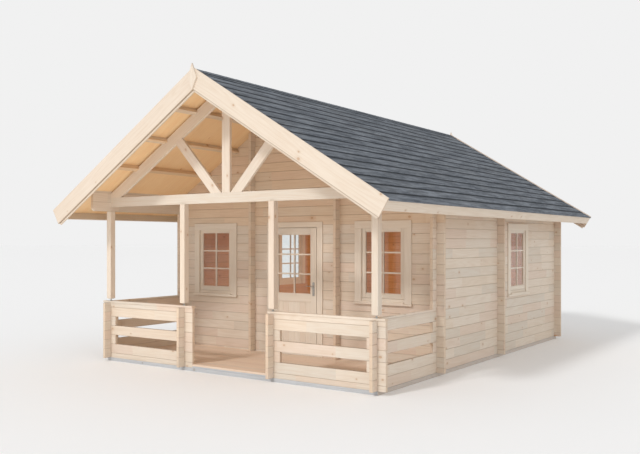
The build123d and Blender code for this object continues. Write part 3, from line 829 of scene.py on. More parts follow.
def finishes() -> dict[str, Timber | Shingle | Metal | Pane]:
    """Every finish of the cabin by its name."""
    found: list[Timber | Shingle | Metal | Pane] = [
        log_finish("logs_across", Run.ALONG_X),
        log_finish("logs_lengthways", Run.ALONG_Y),
        # Gable logs, darker and warmer than the wall logs: painted shade under the porch roof.
        log_finish(
            "shaded_gable_logs", Run.ALONG_X, light=(0.775, 0.635, 0.490), warm=(0.715, 0.540, 0.375),
            dark=(0.570, 0.385, 0.235), blush=(0.710, 0.530, 0.400), grey=(0.680, 0.575, 0.455),
        ),
        log_finish("inside_across", Run.ALONG_X, **LACQUERED),
        log_finish("inside_lengthways", Run.ALONG_Y, **LACQUERED),
        Timber(
            "beam_across", **SPRUCE, run=Run.ALONG_X, width=0.5, first=2.3, block=400.0, spread=0.3
        ),
        Timber("beam_lengthways", **SPRUCE, run=Run.ALONG_Y, width=0.31, block=400.0, spread=0.5),
        # Purlins and ridge beam: spruce made more orange as painted warm bounce light under the
        # roof.
        Timber(
            "bounce_lit_beam",
            light=(0.80, 0.60, 0.40), warm=(0.73, 0.50, 0.30), dark=(0.58, 0.37, 0.21),
            run=Run.ALONG_Y, width=0.31, block=400.0, spread=0.5, joint=0.0,
        ),
        Timber(
            "post_timber", **SPRUCE, run=Run.UPRIGHT, width=0.8, first=0.4, block=9.0,
            spread=0.3, figure=0.35,
        ),
        beam_finish("brace_left", Run.LEFT_BRACE),
        beam_finish("brace_right", Run.RIGHT_BRACE),
        beam_finish("slope_left", Run.LEFT_SLOPE),
        beam_finish("slope_right", Run.RIGHT_SLOPE),
        gable_finish("gable_left", Run.LEFT_SLOPE),
        gable_finish("gable_right", Run.RIGHT_SLOPE),
        Timber(
            "joinery", **PALE_JOINERY, follows=True, spread=0.5, tint=0.25, figure=0.3, knots=0.04
        ),
        Timber("square_timber", **SPRUCE, follows=True, spread=0.4, tint=0.3, figure=0.35),
        Timber(
            "treated_base",
            light=(0.70, 0.72, 0.75), warm=(0.62, 0.64, 0.67), dark=(0.44, 0.45, 0.47),
            run=Run.FLAT_X, width=0.7, block=3.0, tint=0.0, figure=0.6, joint=0.0, splash=0.35,
        ),
        # Deck boards: their wood colour made brighter and more orange as painted warm bounce light.
        Timber(
            "bounce_lit_roof_board",
            light=(0.93, 0.67, 0.39), warm=(0.88, 0.57, 0.30), dark=(0.74, 0.45, 0.22),
            blush=(0.91, 0.60, 0.34), grey=(0.90, 0.66, 0.40), follows=True,
            spread=0.4, tint=0.1, figure=0.3, knots=0.10,
        ),
        Timber(
            "floor_board",
            light=(0.83, 0.665, 0.525), warm=(0.77, 0.565, 0.42), dark=(0.60, 0.41, 0.28),
            follows=True, spread=0.6, tint=0.3, knots=0.12,
        ),
        Shingle(),
        Metal("plated_steel", (0.62, 0.62, 0.60), (0.42, 0.40, 0.37), 0.38),
        Metal("satin_nickel", (0.55, 0.53, 0.50), (0.40, 0.38, 0.35), 0.30),
        Pane(),
    ]
    return {finish.name: finish for finish in found}


# Surfaces


@dataclass
class Surface:
    """Corners and faces of one piece while it is worked out.

    Each faces array has one row to a face and as many columns as the face has corners. Grain holds
    one (along, round) pair for every face corner in the same order, and tone one value a vertex.
    Smooth tells for each faces array whether its faces are shaded as one round surface.
    """

    corners: Array
    faces: list[Array]
    grain: list[Array]
    tone: Array
    smooth: list[bool]

    def together(self, *others: "Surface") -> "Surface":
        """This surface and others as one, with their faces renumbered."""
        everything = (self, *others)
        starts = np.cumsum([0] + [len(item.corners) for item in everything])
        return Surface(
            np.concatenate([item.corners for item in everything]),
            [rows + start for item, start in zip(everything, starts) for rows in item.faces],
            [pairs for item in everything for pairs in item.grain],
            np.concatenate([item.tone for item in everything]),
            [flag for item in everything for flag in item.smooth],
        )

    def placed(self, turn: float, shift: Spot) -> "Surface":
        """This surface turned about the upright axis and moved.

        Args:
            turn: The turn in radians.
            shift: The move that follows it.

        Returns:
            The new surface.
        """
        cos, sin = math.cos(turn), math.sin(turn)
        swing = np.array([[cos, sin, 0], [-sin, cos, 0], [0, 0, 1]])
        return replace(self, corners=self.corners @ swing + np.array(shift))

    def make(self, name: str, body: str, material: Material) -> Object:
        """Puts the arrays into a mesh object that rides on a body.

        Args:
            name: The piece's name.
            body: The body that carries it.
            material: Its finish.

        Returns:
            The object.
        """
        mesh = bpy.data.meshes.new(name)
        mesh.vertices.add(len(self.corners))
        mesh.vertices.foreach_set("co", self.corners.astype(np.float32).ravel())
        counts = np.concatenate([np.full(len(rows), rows.shape[1]) for rows in self.faces])
        mesh.loops.add(int(counts.sum()))
        order = np.concatenate([rows.ravel() for rows in self.faces]).astype(np.int32)
        mesh.loops.foreach_set("vertex_index", order)
        mesh.polygons.add(len(counts))
        starts = np.concatenate([[0], np.cumsum(counts)[:-1]]).astype(np.int32)
        mesh.polygons.foreach_set("loop_start", starts)
        shading = np.repeat(self.smooth, [len(rows) for rows in self.faces])
        mesh.polygons.foreach_set("use_smooth", shading)
        mesh.update(calc_edges=True)
        pairs = np.concatenate([part.reshape(-1, 2) for part in self.grain]).astype(np.float32)
        mesh.uv_layers.new(name="grain").data.foreach_set("uv", pairs.ravel())
        tones = mesh.attributes.new("tone", "FLOAT", "POINT")
        tones.data.foreach_set("value", self.tone.astype(np.float32))
        mesh.materials.append(material)
        made = bpy.data.objects.new(name, mesh)
        bpy.context.scene.collection.objects.link(made)
        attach(made, body)
        LOG.info("%s: %d faces on %s", name, len(counts), body)
        return made


def tube_faces(count: int, rings: int, points: int) -> tuple[Array, Array]:
    """Faces of closed tubes whose corners run round each ring, and ring after ring.

    A side face joins points i and i + 1 of one ring to the same two of the next, with the last
    point followed by the first. One face closes each end.

    Args:
        count: Number of tubes.
        rings: Rings in each.
        points: Points in each ring.

    Returns:
        The side faces, and the end faces in pairs.
    """
    offset = (np.arange(count) * rings * points)[:, None, None]
    ring, point = np.meshgrid(np.arange(rings - 1), np.arange(points), indexing="ij")
    here, there, ahead = ring * points, (ring + 1) * points, (point + 1) % points
    skin = np.stack([here + point, here + ahead, there + ahead, there + point], -1)
    lids = np.stack([np.arange(points)[::-1], (rings - 1) * points + np.arange(points)])
    skin, lids = skin.reshape(1, -1, 4) + offset, lids[None] + offset
    return skin.reshape(-1, 4), lids.reshape(-1, points)


def rounded_section(width: Array, depth: Array, edge: float) -> tuple[Array, Array]:
    """Section of a bar with its four corners cut off.

    Eight points go round from the lower right: across the width they lie at plus or minus half of
    it, less the cut at every other point, and from 0 to the depth upwards in the same way.

    Args:
        width: Widths of the bars.
        depth: Depths of the bars.
        edge: Size of the cut.

    Returns:
        Places across and upwards, each with one row to a bar and eight columns.
    """
    sign = np.array([1, 1, 1, 1, -1, -1, -1, -1])
    inset = np.array([1, 0, 0, 1, 1, 0, 0, 1]) * edge
    low = np.array([1, 1, 0, 0, 0, 0, 1, 1])
    rise = np.array([0, 1, 1, 0, 0, 1, 1, 0]) * edge
    return sign * (width[:, None] / 2 - inset), np.where(low, rise, depth[:, None] - rise)


def bars(
    starts: Array,
    ends: Array,
    ups: Array,
    width: Array | float,
    depth: Array | float,
    edge: float,
    rng: Rng,
    end_depth: Array | float | None = None,
) -> Surface:
    """Straight bars with small cut edges, as one surface.

    A section of eight points is carried from start to end through four stations. The two middle
    stations lie one edge size in from the ends and hold the whole section; the outer ones hold it
    drawn in by the edge size. A corner is start + t * (end - start) + across * side + upwards * up,
    with side = up x direction, and the depth may change evenly from start to end.

    Args:
        starts: Middle of the underside at the start, one row to a bar.
        ends: The same at the end.
        ups: Unit vectors from the underside to the top.
        width: Width of each bar, or one for all.
        depth: Depth at the start.
        edge: Size of the cut edges.
        rng: Seeded random numbers for each bar's tone and its place in the grain.
        end_depth: Depth at the end, if it differs.

    Returns:
        The surface.
    """
    starts, ends = np.atleast_2d(starts).astype(float), np.atleast_2d(ends).astype(float)
    count = len(starts)
    ups = np.broadcast_to(np.asarray(ups, float), (count, 3))
    width = np.broadcast_to(np.asarray(width, float), (count,))
    first = np.broadcast_to(np.asarray(depth, float), (count,))
    last = first if end_depth is None else np.broadcast_to(np.asarray(end_depth, float), (count,))
    travel = ends - starts
    length = np.linalg.norm(travel, axis=1)
    direction = travel / length[:, None]
    sides = np.cross(ups, direction)
    share = np.stack([0 * length, edge / length, 1 - edge / length, 0 * length + 1], axis=1)
    rings, points, slip = 4, 8, 40.0
    corners = np.empty((count, rings, points, 3))
    for station in range(rings):
        deep = first + (last - first) * share[:, station]
        across, upwards = rounded_section(width, deep, edge)
        if station in (0, rings - 1):
            across = across * ((width - 2 * edge) / width)[:, None]
            middle = deep[:, None] / 2
            upwards = middle + (upwards - middle) * ((deep - 2 * edge) / deep)[:, None]
        line = starts + travel * share[:, station, None]
        aside, above = across[..., None] * sides[:, None], upwards[..., None] * ups[:, None]
        corners[:, station] = line[:, None] + aside + above
    tone = rng.random(count)
    slide = rng.random((count, 2)) * slip
    spans = np.stack([first * 0 + edge, first, first * 0 + edge, width] * 2, axis=1)
    girth = np.concatenate([np.zeros((count, 1)), np.cumsum(spans, axis=1)], axis=1)
    along = share * length[:, None]
    grain = np.empty((count, rings - 1, points, 4, 2))
    for corner, (step, turn) in enumerate(((0, 0), (0, 1), (1, 1), (1, 0))):
        grain[:, :, :, corner, 0] = along[:, np.arange(rings - 1) + step][:, :, None]
        grain[:, :, :, corner, 1] = girth[:, np.arange(points) + turn][:, None, :]
    grain += slide[:, None, None, None]
    section = np.stack([corners[:, 0] - starts[:, None], corners[:, -1] - ends[:, None]], axis=1)
    flat = np.stack([(section * way[:, None, None]).sum(-1) for way in (ups, sides)], -1)
    flat[:, 0] = flat[:, 0, ::-1]
    flat = flat * np.array([30.0, 1.0]) + slide[:, None, None]
    return Surface(
        corners.reshape(-1, 3), list(tube_faces(count, rings, points)),
        [grain.reshape(-1, 2), flat.reshape(-1, 2)], np.repeat(tone, rings * points),
        [False, False],
    )


class Axis(Enum):
    """The axis that a board's grain runs along."""

    X = 0
    Y = 1
    Z = 2


@dataclass(frozen=True)
class Board:
    """One straight board: the axis of its grain and its reach along X, Y and Z."""

    grain: Axis
    x: Span
    y: Span
    z: Span


def both_sides(grain: Axis, x: Span, y: Span, z: Span) -> list[Board]:
    """A board and its mirror image across X."""
    return [Board(grain, x, y, z), Board(grain, (-x[1], -x[0]), y, z)]


def boards(items: Sequence[Board], edge: float, rng: Rng) -> Surface:
    """Boards from their boxes, as bars.

    With the grain along axis a, a board's depth lies along the next axis and its width along the
    one after, in the cycle X, Y, Z. It starts at the middle of its lowest face and low end.

    Args:
        items: The boards.
        edge: Size of their cut edges.
        rng: Seeded random numbers.

    Returns:
        The boards as one surface.
    """
    reach = np.array([[item.x, item.y, item.z] for item in items])
    low, high = reach.min(axis=2), reach.max(axis=2)
    row = np.arange(len(items))
    along = np.array([item.grain.value for item in items])
    depth, width = (along + 1) % 3, (along + 2) % 3
    start = (low + high) / 2
    start[row, along] = low[row, along]
    start[row, depth] = low[row, depth]
    end = start.copy()
    end[row, along] = high[row, along]
    ups = np.zeros((len(items), 3))
    ups[row, depth] = 1.0
    size = high - low
    return bars(start, end, ups, size[row, width], size[row, depth], edge, rng)


def swept(path: Array, across: Array, upwards: Array, segments: int = 20) -> Surface:
    """An oval bar carried along a level path.

    A corner is path + across * cos(angle) * side + upwards * sin(angle) * Z, with side square to
    the path's direction and to Z, and its two radii given at each point of the path.

    Args:
        path: Points of the middle line.
        across: Level radius at each point.
        upwards: Upright radius at each point.
        segments: Sides round the bar.

    Returns:
        The surface.
    """
    direction = np.gradient(path, axis=0)
    direction /= np.linalg.norm(direction, axis=1)[:, None]
    side = np.cross(direction, [0.0, 0.0, 1.0])
    angle = np.arange(segments) * 2 * math.pi / segments
    level = across[:, None, None] * np.cos(angle)[None, :, None] * side[:, None]
    rise = upwards[:, None, None] * np.sin(angle)[None, :, None] * np.array([0.0, 0.0, 1.0])
    corners = (path[:, None] + level + rise).reshape(-1, 3)
    skin, lids = tube_faces(1, len(path), segments)
    skin, lids = skin[:, [0, 3, 2, 1]], lids[:, ::-1]
    grain = [np.zeros((skin.size, 2)), np.zeros((lids.size, 2))]
    return Surface(corners, [skin, lids], grain, np.zeros(len(corners)), [True, False])


def turned(
    profile: Sequence[Span], feet: Array, axis: Spot = UP, segments: int = 20
) -> Surface:
    """Round pieces, one at each foot, as one surface.

    A corner is foot + height * axis + radius * (cos(angle) * first + sin(angle) * second), where
    radius and height follow the profile from the foot's closed end to the other one, and first
    and second are two directions square to the axis.

    Args:
        profile: Pairs of radius and height. Both ends are closed by a flat face.
        feet: Points where the pieces start.
        axis: Unit vector along the pieces.
        segments: Sides round the axis.

    Returns:
        The surface.
    """
    feet = np.atleast_2d(np.asarray(feet, float))
    axis_vector = np.asarray(axis, float)
    helper = np.array([1.0, 0.0, 0.0]) if abs(axis_vector[0]) < 0.9 else np.array([0.0, 1.0, 0.0])
    first = np.cross(helper, axis_vector)
    first /= np.linalg.norm(first)
    second = np.cross(axis_vector, first)
    radius, height = np.array(profile, float).T
    angle = np.arange(segments) * 2 * math.pi / segments
    round_way = np.cos(angle)[:, None] * first + np.sin(angle)[:, None] * second
    shape = height[:, None, None] * axis_vector + radius[:, None, None] * round_way
    corners = (feet[:, None, None] + shape[None]).reshape(-1, 3)
    skin, lids = tube_faces(len(feet), len(radius), segments)
    grain = [np.zeros((skin.size, 2)), np.zeros((lids.size, 2))]
    return Surface(corners, [skin, lids], grain, np.zeros(len(corners)), [segments > 8, False])


# Sub-assemblies


@dataclass
class Kit:
    """What every sub-assembly needs: the frame's nodes and the finished materials."""

    nodes: dict[str, Object]
    finish: dict[str, Material]

    def put(
        self, surface: Surface, name: str, finish: str, slot: str, body: str = "cabin"
    ) -> Object:
        """Makes a surface a named piece on a body, with the finish of that name."""
        return surface.make(name, body, self.finish[finish])

    def dress(self, name: str, finish: str, slot: str) -> None:
        """Gives a whole CAD node one finish.

        Args:
            name: The node.
            finish: Name of the finish.
            slot: The record's material slot; not used.
        """
        node, material = self.nodes[name], self.finish[finish]
        node.data.materials.clear()
        node.data.materials.append(material)
        LOG.info("%s: dressed with %s", name, finish)

    def dress_by(
        self, name: str, choices: Sequence[str], slot: str, choose: Callable[[Array, Array], Array]
    ) -> None:
        """Gives a CAD node several finishes, by where each face lies and looks.

        Args:
            name: The node.
            choices: Names of its finishes, the most usual first.
            slot: The record's material slot; not used.
            choose: Takes the faces' middles and normals, one row each, and returns the choices.
        """
        self.dress(name, choices[0], slot)
        mesh = self.nodes[name].data
        for finish in choices[1:]:
            mesh.materials.append(self.finish[finish])
        centres, normals = np.empty((2, len(mesh.polygons) * 3))
        mesh.polygons.foreach_get("center", centres)
        mesh.polygons.foreach_get("normal", normals)
        chosen = choose(centres.reshape(-1, 3), normals.reshape(-1, 3))
        mesh.polygons.foreach_set("material_index", chosen.astype(np.int32))
        mesh.update()


@dataclass
class LogWork:
    """The log walls, gables and rails, whose crossed ends run the other way."""

    kit: Kit
    margin: float = 0.001

    def dress(self) -> None:
        """Finishes the logs by the way each part of a wall runs, and warmer inside the house."""
        across, lengthways, slot = "logs_across", "logs_lengthways", "log_wood"
        sides = (lengthways, across, "inside_lengthways")
        fronts = (across, lengthways, "inside_across")
        for name, choices, choose in (
            ("left_wall", sides, self._side_choice),
            ("right_wall", sides, self._side_choice),
            ("front_wall_left", fronts, self._front_choice),
            ("front_wall_right", fronts, self._front_choice),
            # The gable logs get a darker copy of the log finish as painted shade.
            ("front_gable", ("shaded_gable_logs", *fronts[1:]), self._front_choice),
            ("back_wall", (across, "inside_across"), self._back_choice),
            ("front_rail_left", (across, lengthways), self._rail_choice),
            ("front_rail_right", (across, lengthways), self._rail_choice),
        ):
            self.kit.dress_by(name, choices, slot, choose)
        for name in ("side_rail_left", "side_rail_right", "porch_beams"):
            self.kit.dress(name, lengthways, slot)
        self.kit.dress("tie_beam", "beam_across", slot)

    def _side_choice(self, spots: Array, normals: Array) -> Array:
        """1 on the short logs that cross a side wall, 2 on the wall's inner face.

        Args:
            spots: Middles of the faces, one row each.
            normals: Their normals.

        Returns:
            Each face's choice.
        """
        off = np.abs(np.abs(spots[:, 0]) - SIZES.side_line) > SIZES.half + self.margin
        inner = (np.abs(spots[:, 0]) < SIZES.side_line) & (spots[:, 0] * normals[:, 0] < -0.5)
        inner &= (spots[:, 1] > SIZES.front_line) & (spots[:, 1] < SIZES.back_line)
        return np.where(off, 1, np.where(inner, 2, 0))

    def _front_choice(self, spots: Array, normals: Array) -> Array:
        """1 on the short logs that cross the front wall, 2 on the wall's inner face.

        Args:
            spots: Middles of the faces, one row each.
            normals: Their normals.

        Returns:
            Each face's choice.
        """
        off = np.abs(spots[:, 1] - SIZES.front_line) > SIZES.half + self.margin
        off &= np.abs(spots[:, 0]) < SIZES.side_line / 2
        inner = (spots[:, 1] > SIZES.front_line) & (normals[:, 1] > 0.5)
        inner &= np.abs(spots[:, 0]) < SIZES.side_line
        return np.where(off, 1, np.where(inner, 2, 0))

    @staticmethod
    def _back_choice(spots: Array, normals: Array) -> Array:
        """1 on the inner face of the back wall."""
        return (normals[:, 1] < -0.5) & (np.abs(spots[:, 0]) < SIZES.side_line)

    def _rail_choice(self, spots: Array, normals: Array) -> Array:
        """1 on the short logs that cross the front rail, below its cap board."""
        off = np.abs(spots[:, 1] - SIZES.porch_line) > SIZES.half + self.margin
        return off & (spots[:, 2] < SIZES.rail_top - self.margin)


@dataclass
class Frame:
    """Truss, purlins and ridge beam."""

    kit: Kit

    def dress(self) -> None:
        """Finishes the beams along their grain."""
        self.kit.dress("king_post", "post_timber", "frame_wood")
        # The purlins and ridge beam get the finish with painted warm bounce light.
        for name in ("purlins_left", "purlins_right", "ridge_purlin"):
            self.kit.dress(name, "bounce_lit_beam", "frame_wood")
        for name, run in (("struts", "brace"), ("rafters", "slope")):
            self.kit.dress_by(name, (f"{run}_right", f"{run}_left"), "frame_wood", self._left)

    @staticmethod
    def _left(spots: Array, normals: Array) -> Array:
        """1 on the left of the ridge."""
        return spots[:, 0] < 0


@dataclass
class Posts:
    """Porch posts with planed edges, each on a threaded rod with a nut between two plates."""

    kit: Kit
    width: float = 0.095
    edge: float = 0.004
    gap: float = 0.036
    outer_top: float = 2.370
    inner_top: float = 2.4425
    plate: float = 0.060
    plate_thickness: float = 0.004
    nut_radius: float = 0.014
    nut_height: float = 0.014
    rod_radius: float = 0.008
    thread: float = 0.002
    valley: float = 0.9
    nut_cut: float = 0.92
    nut_bevel: float = 0.0015
    plate_edge: float = 0.0006

    def build(self) -> None:
        """Puts up the four posts on their feet."""
        rng = np.random.default_rng(61)
        lines = (-SIZES.side_line, -SIZES.column_line, SIZES.column_line, SIZES.side_line)
        tops = (self.outer_top, self.inner_top, self.inner_top, self.outer_top)
        foot = SIZES.cap_top + self.gap
        posts = boards(
            [Board(Axis.Z, *self._square(line, self.width), (foot, top))
             for line, top in zip(lines, tops)], self.edge, rng,
        )
        made = self.kit.put(posts, "square_posts", "square_timber", "frame_wood")
        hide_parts("posts")
        made = self.kit.put(self._feet(lines, rng), "post_feet", "plated_steel", "steel")
        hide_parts("post_screws")

    @staticmethod
    def _square(line: float, width: float) -> tuple[Span, Span]:
        """Reach along X and Y of a square about a post's middle."""
        half = width / 2
        return (line - half, line + half), (SIZES.porch_line - half, SIZES.porch_line + half)

    def _feet(self, lines: Sequence[float], rng: Rng) -> Surface:
        """Plates, nuts and rods; the rod's radius falls and rises by a tenth along its thread.

        Args:
            lines: Places of the posts along X.
            rng: Seeded random numbers.

        Returns:
            The feet as one surface.
        """
        low, high, thick = SIZES.cap_top, SIZES.cap_top + self.gap, self.plate_thickness
        plates = [Board(Axis.X, *self._square(line, self.plate), span)
                  for line in lines for span in ((low, low + thick), (high - thick, high))]
        base = np.array([[line, SIZES.porch_line, low + thick] for line in lines])
        rise = self.gap - 2 * thick
        steps = np.arange(0.0, rise, self.thread / 2)
        crest = self.rod_radius * np.where(np.arange(len(steps)) % 2, 1.0, self.valley)
        rod = [*zip(crest, steps), (self.rod_radius * self.valley, rise)]
        cut, bevel, tall = self.nut_radius * self.nut_cut, self.nut_bevel, self.nut_height
        nut = [(cut, 0.0), (self.nut_radius, bevel), (self.nut_radius, tall - bevel), (cut, tall)]
        feet = boards(plates, self.plate_edge, rng)
        return feet.together(turned(rod, base, segments=16), turned(nut, base, segments=6))


@dataclass
class Trim:
    """Gable boards, the diamond boards over their joints and the eave boards."""

    kit: Kit

    def dress(self) -> None:
        """Finishes the boards along their grain."""
        for name, finish in (
            ("bargeboards_left", "gable_left"), ("bargeboards_right", "gable_right"),
            ("ridge_plates", "post_timber"), ("eave_boards", "beam_lengthways"),
        ):
            self.kit.dress(name, finish, "trim_wood")


@dataclass
class RoofDeck:
    """Tongued boards that run down each slope, with a small groove at each joint."""

    kit: Kit
    board: float = 0.096
    gap: float = 0.0004
    edge: float = 0.0016

    def build(self) -> None:
        """Lays the boards of both slopes side by side from the front to the back."""
        rng = np.random.default_rng(11)
        count = round(2 * SIZES.roof_end / self.board)
        pitch = 2 * SIZES.roof_end / count
        y = -SIZES.roof_end + pitch * (np.arange(count) + 0.5)
        low = np.full(count, SIZES.slope_length - SIZES.eave_board)
        for side, name in ((-1, "left"), (1, "right")):
            top = SIZES.on_slope(side, 0 * y, 0 * y, y)
            foot = SIZES.on_slope(side, low, 0 * y, y)
            up = SIZES.square_up(side)
            slope = bars(top, foot, up, pitch - self.gap, SIZES.deck, self.edge, rng)
            # The deck boards' finish carries painted warm bounce light.
            made = self.kit.put(slope, f"deck_boards_{name}", "bounce_lit_roof_board", "deck_wood")
            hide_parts(f"roof_deck_{name}")


@dataclass
class ShingleRoof:
    """Courses of felt tabs on each slope, and folded strips over the ridge."""

    kit: Kit
    exposure: float = 0.217
    butt: float = 0.010
    head: float = 0.005
    overhang: float = 0.020
    tab: float = 0.333
    slot: float = 0.004
    cap_width: float = 0.15
    cap_thickness: float = 0.005
    cap_drop: float = 0.0016
    cap_sunk: float = 0.001
    cap_cover: float = 0.6
    felt: float = 0.004
    least_tab: float = 0.03
    play: float = 0.003
    eave_play: float = 0.001
    thick_play: float = 0.0008
    swell: float = 0.001
    under_lap: float = 0.012
    tuck: float = 0.0012
    head_depth: float = 0.0022
    stagger: tuple[float, float] = (0.5, 0.31)
    edge: float = 0.0006

    def build(self) -> None:
        """Lays both slopes and the ridge."""
        rng = np.random.default_rng(23)
        for side, name in ((-1, "left"), (1, "right")):
            under, tabs = self._under_sheet(side, rng), self._tabs(side, rng)
            felt = under.together(tabs)
            made = self.kit.put(felt, f"shingle_tabs_{name}", "felt_shingle", "shingle")
            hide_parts(f"shingles_{name}")
        made = self.kit.put(self._ridge(rng), "ridge_strips", "felt_shingle", "shingle")
        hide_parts("ridge_cap")

    def _under_sheet(self, side: int, rng: Rng) -> Surface:
        """The felt under the tabs, from the ridge to the eave.

        Args:
            side: -1 for the left slope and 1 for the right one.
            rng: Seeded random numbers.

        Returns:
            The sheet.
        """
        low = SIZES.slope_length + self.overhang - self.felt
        top, foot = (SIZES.on_slope(side, np.array([along]), np.array([SIZES.deck]), np.zeros(1))
                     for along in (self.felt, low))
        width = 2 * SIZES.roof_end - 0.002
        return bars(top, foot, SIZES.square_up(side), width, self.felt, 0.0005, rng)

    def _tabs(self, side: int, rng: Rng) -> Surface:
        """Tabs in courses from the eave up.

        Tab i of course k has its lower edge at eave - k * exposure, less a random play of up to
        3 mm. It starts at (i - 0.5 * (k mod 2) - 0.31 * (k mod 3)) * tab from the front. It is
        thick at the lower edge and thin at its head, which the next course covers.

        Args:
            side: -1 for the left slope and 1 for the right one.
            rng: Seeded random numbers.

        Returns:
            The tabs as one surface.
        """
        eave = SIZES.slope_length + self.overhang
        courses = int((eave - self.cap_width * self.cap_cover) / self.exposure)
        per_course = int(2 * SIZES.roof_end / self.tab) + 2
        course, place = np.meshgrid(np.arange(courses), np.arange(per_course), indexing="ij")
        course, place = course.ravel(), place.ravel()
        shift = self.stagger[0] * (course % 2) + self.stagger[1] * (course % 3)
        low = -SIZES.roof_end + (place - shift) * self.tab
        high = np.minimum(low + self.tab - self.slot, SIZES.roof_end)
        low = np.maximum(low, -SIZES.roof_end)
        keep = high - low > self.least_tab
        course, low, high = course[keep], low[keep], high[keep]
        count = len(course)
        edge = eave - course * self.exposure
        plays = rng.random(count) * self.play, rng.random(count) * self.eave_play
        foot = edge - np.where(course > 0, *plays)
        middle = (low + high) / 2
        lift = np.full(count, SIZES.deck + self.head - self.tuck)
        above = edge - self.exposure - self.under_lap
        start = SIZES.on_slope(side, above, lift - self.tuck, middle)
        finish = SIZES.on_slope(side, foot, lift, middle)
        up = SIZES.square_up(side)
        thick = self.butt - self.head + self.swell - rng.random(count) * self.thick_play
        wide = high - low
        return bars(start, finish, up, wide, self.head_depth, self.edge, rng, end_depth=thick)

    def _ridge(self, rng: Rng) -> Surface:
        """Folded strips, each over the one behind it.

        Six points give the section: the underside from the left edge over the apex to the right
        edge, and the top back again. It is carried over one exposure, and its front end is
        higher by the felt's thickness.

        Args:
            rng: Seeded random numbers.

        Returns:
            The strips as one surface.
        """
        count = round(2 * SIZES.roof_end / self.exposure)
        step = 2 * SIZES.roof_end / count
        low = SIZES.deck + self.butt - self.cap_sunk
        high = low + self.cap_thickness
        side = np.array([-1, 0, 1, 1, 0, -1])
        above = np.array([low, low, low, high, high, high])
        along = np.array([self.cap_width, 0.0, self.cap_width, self.cap_width, 0.0, self.cap_width])
        apex = side == 0
        x = side * (along * math.cos(SIZES.slope) + above * math.sin(SIZES.slope))
        z = SIZES.ridge - along * math.sin(SIZES.slope) + above * math.cos(SIZES.slope)
        z = np.where(apex, SIZES.ridge + above / math.cos(SIZES.slope), z)
        front = -SIZES.roof_end + step * np.arange(count)
        corners = np.empty((count, 2, 6, 3))
        for station, (shift, drop) in enumerate(((0.0, 0.0), (step, -self.cap_drop))):
            corners[:, station, :, 0] = x
            corners[:, station, :, 1] = (front + shift)[:, None]
            corners[:, station, :, 2] = z + drop
        offset = (np.arange(count) * 12)[:, None, None]
        point = np.arange(6)
        ahead = (point + 1) % 6
        ring = np.stack([point, point + 6, ahead + 6, ahead], -1)
        ends = np.array([[0, 1, 4, 5], [1, 2, 3, 4], [6, 11, 10, 7], [7, 10, 9, 8]])
        rows = (np.concatenate([ring, ends])[None] + offset).reshape(-1, 4)
        tone = np.repeat(rng.random(count), 12)
        return Surface(corners.reshape(-1, 3), [rows], [np.zeros((rows.size, 2))], tone, [False])


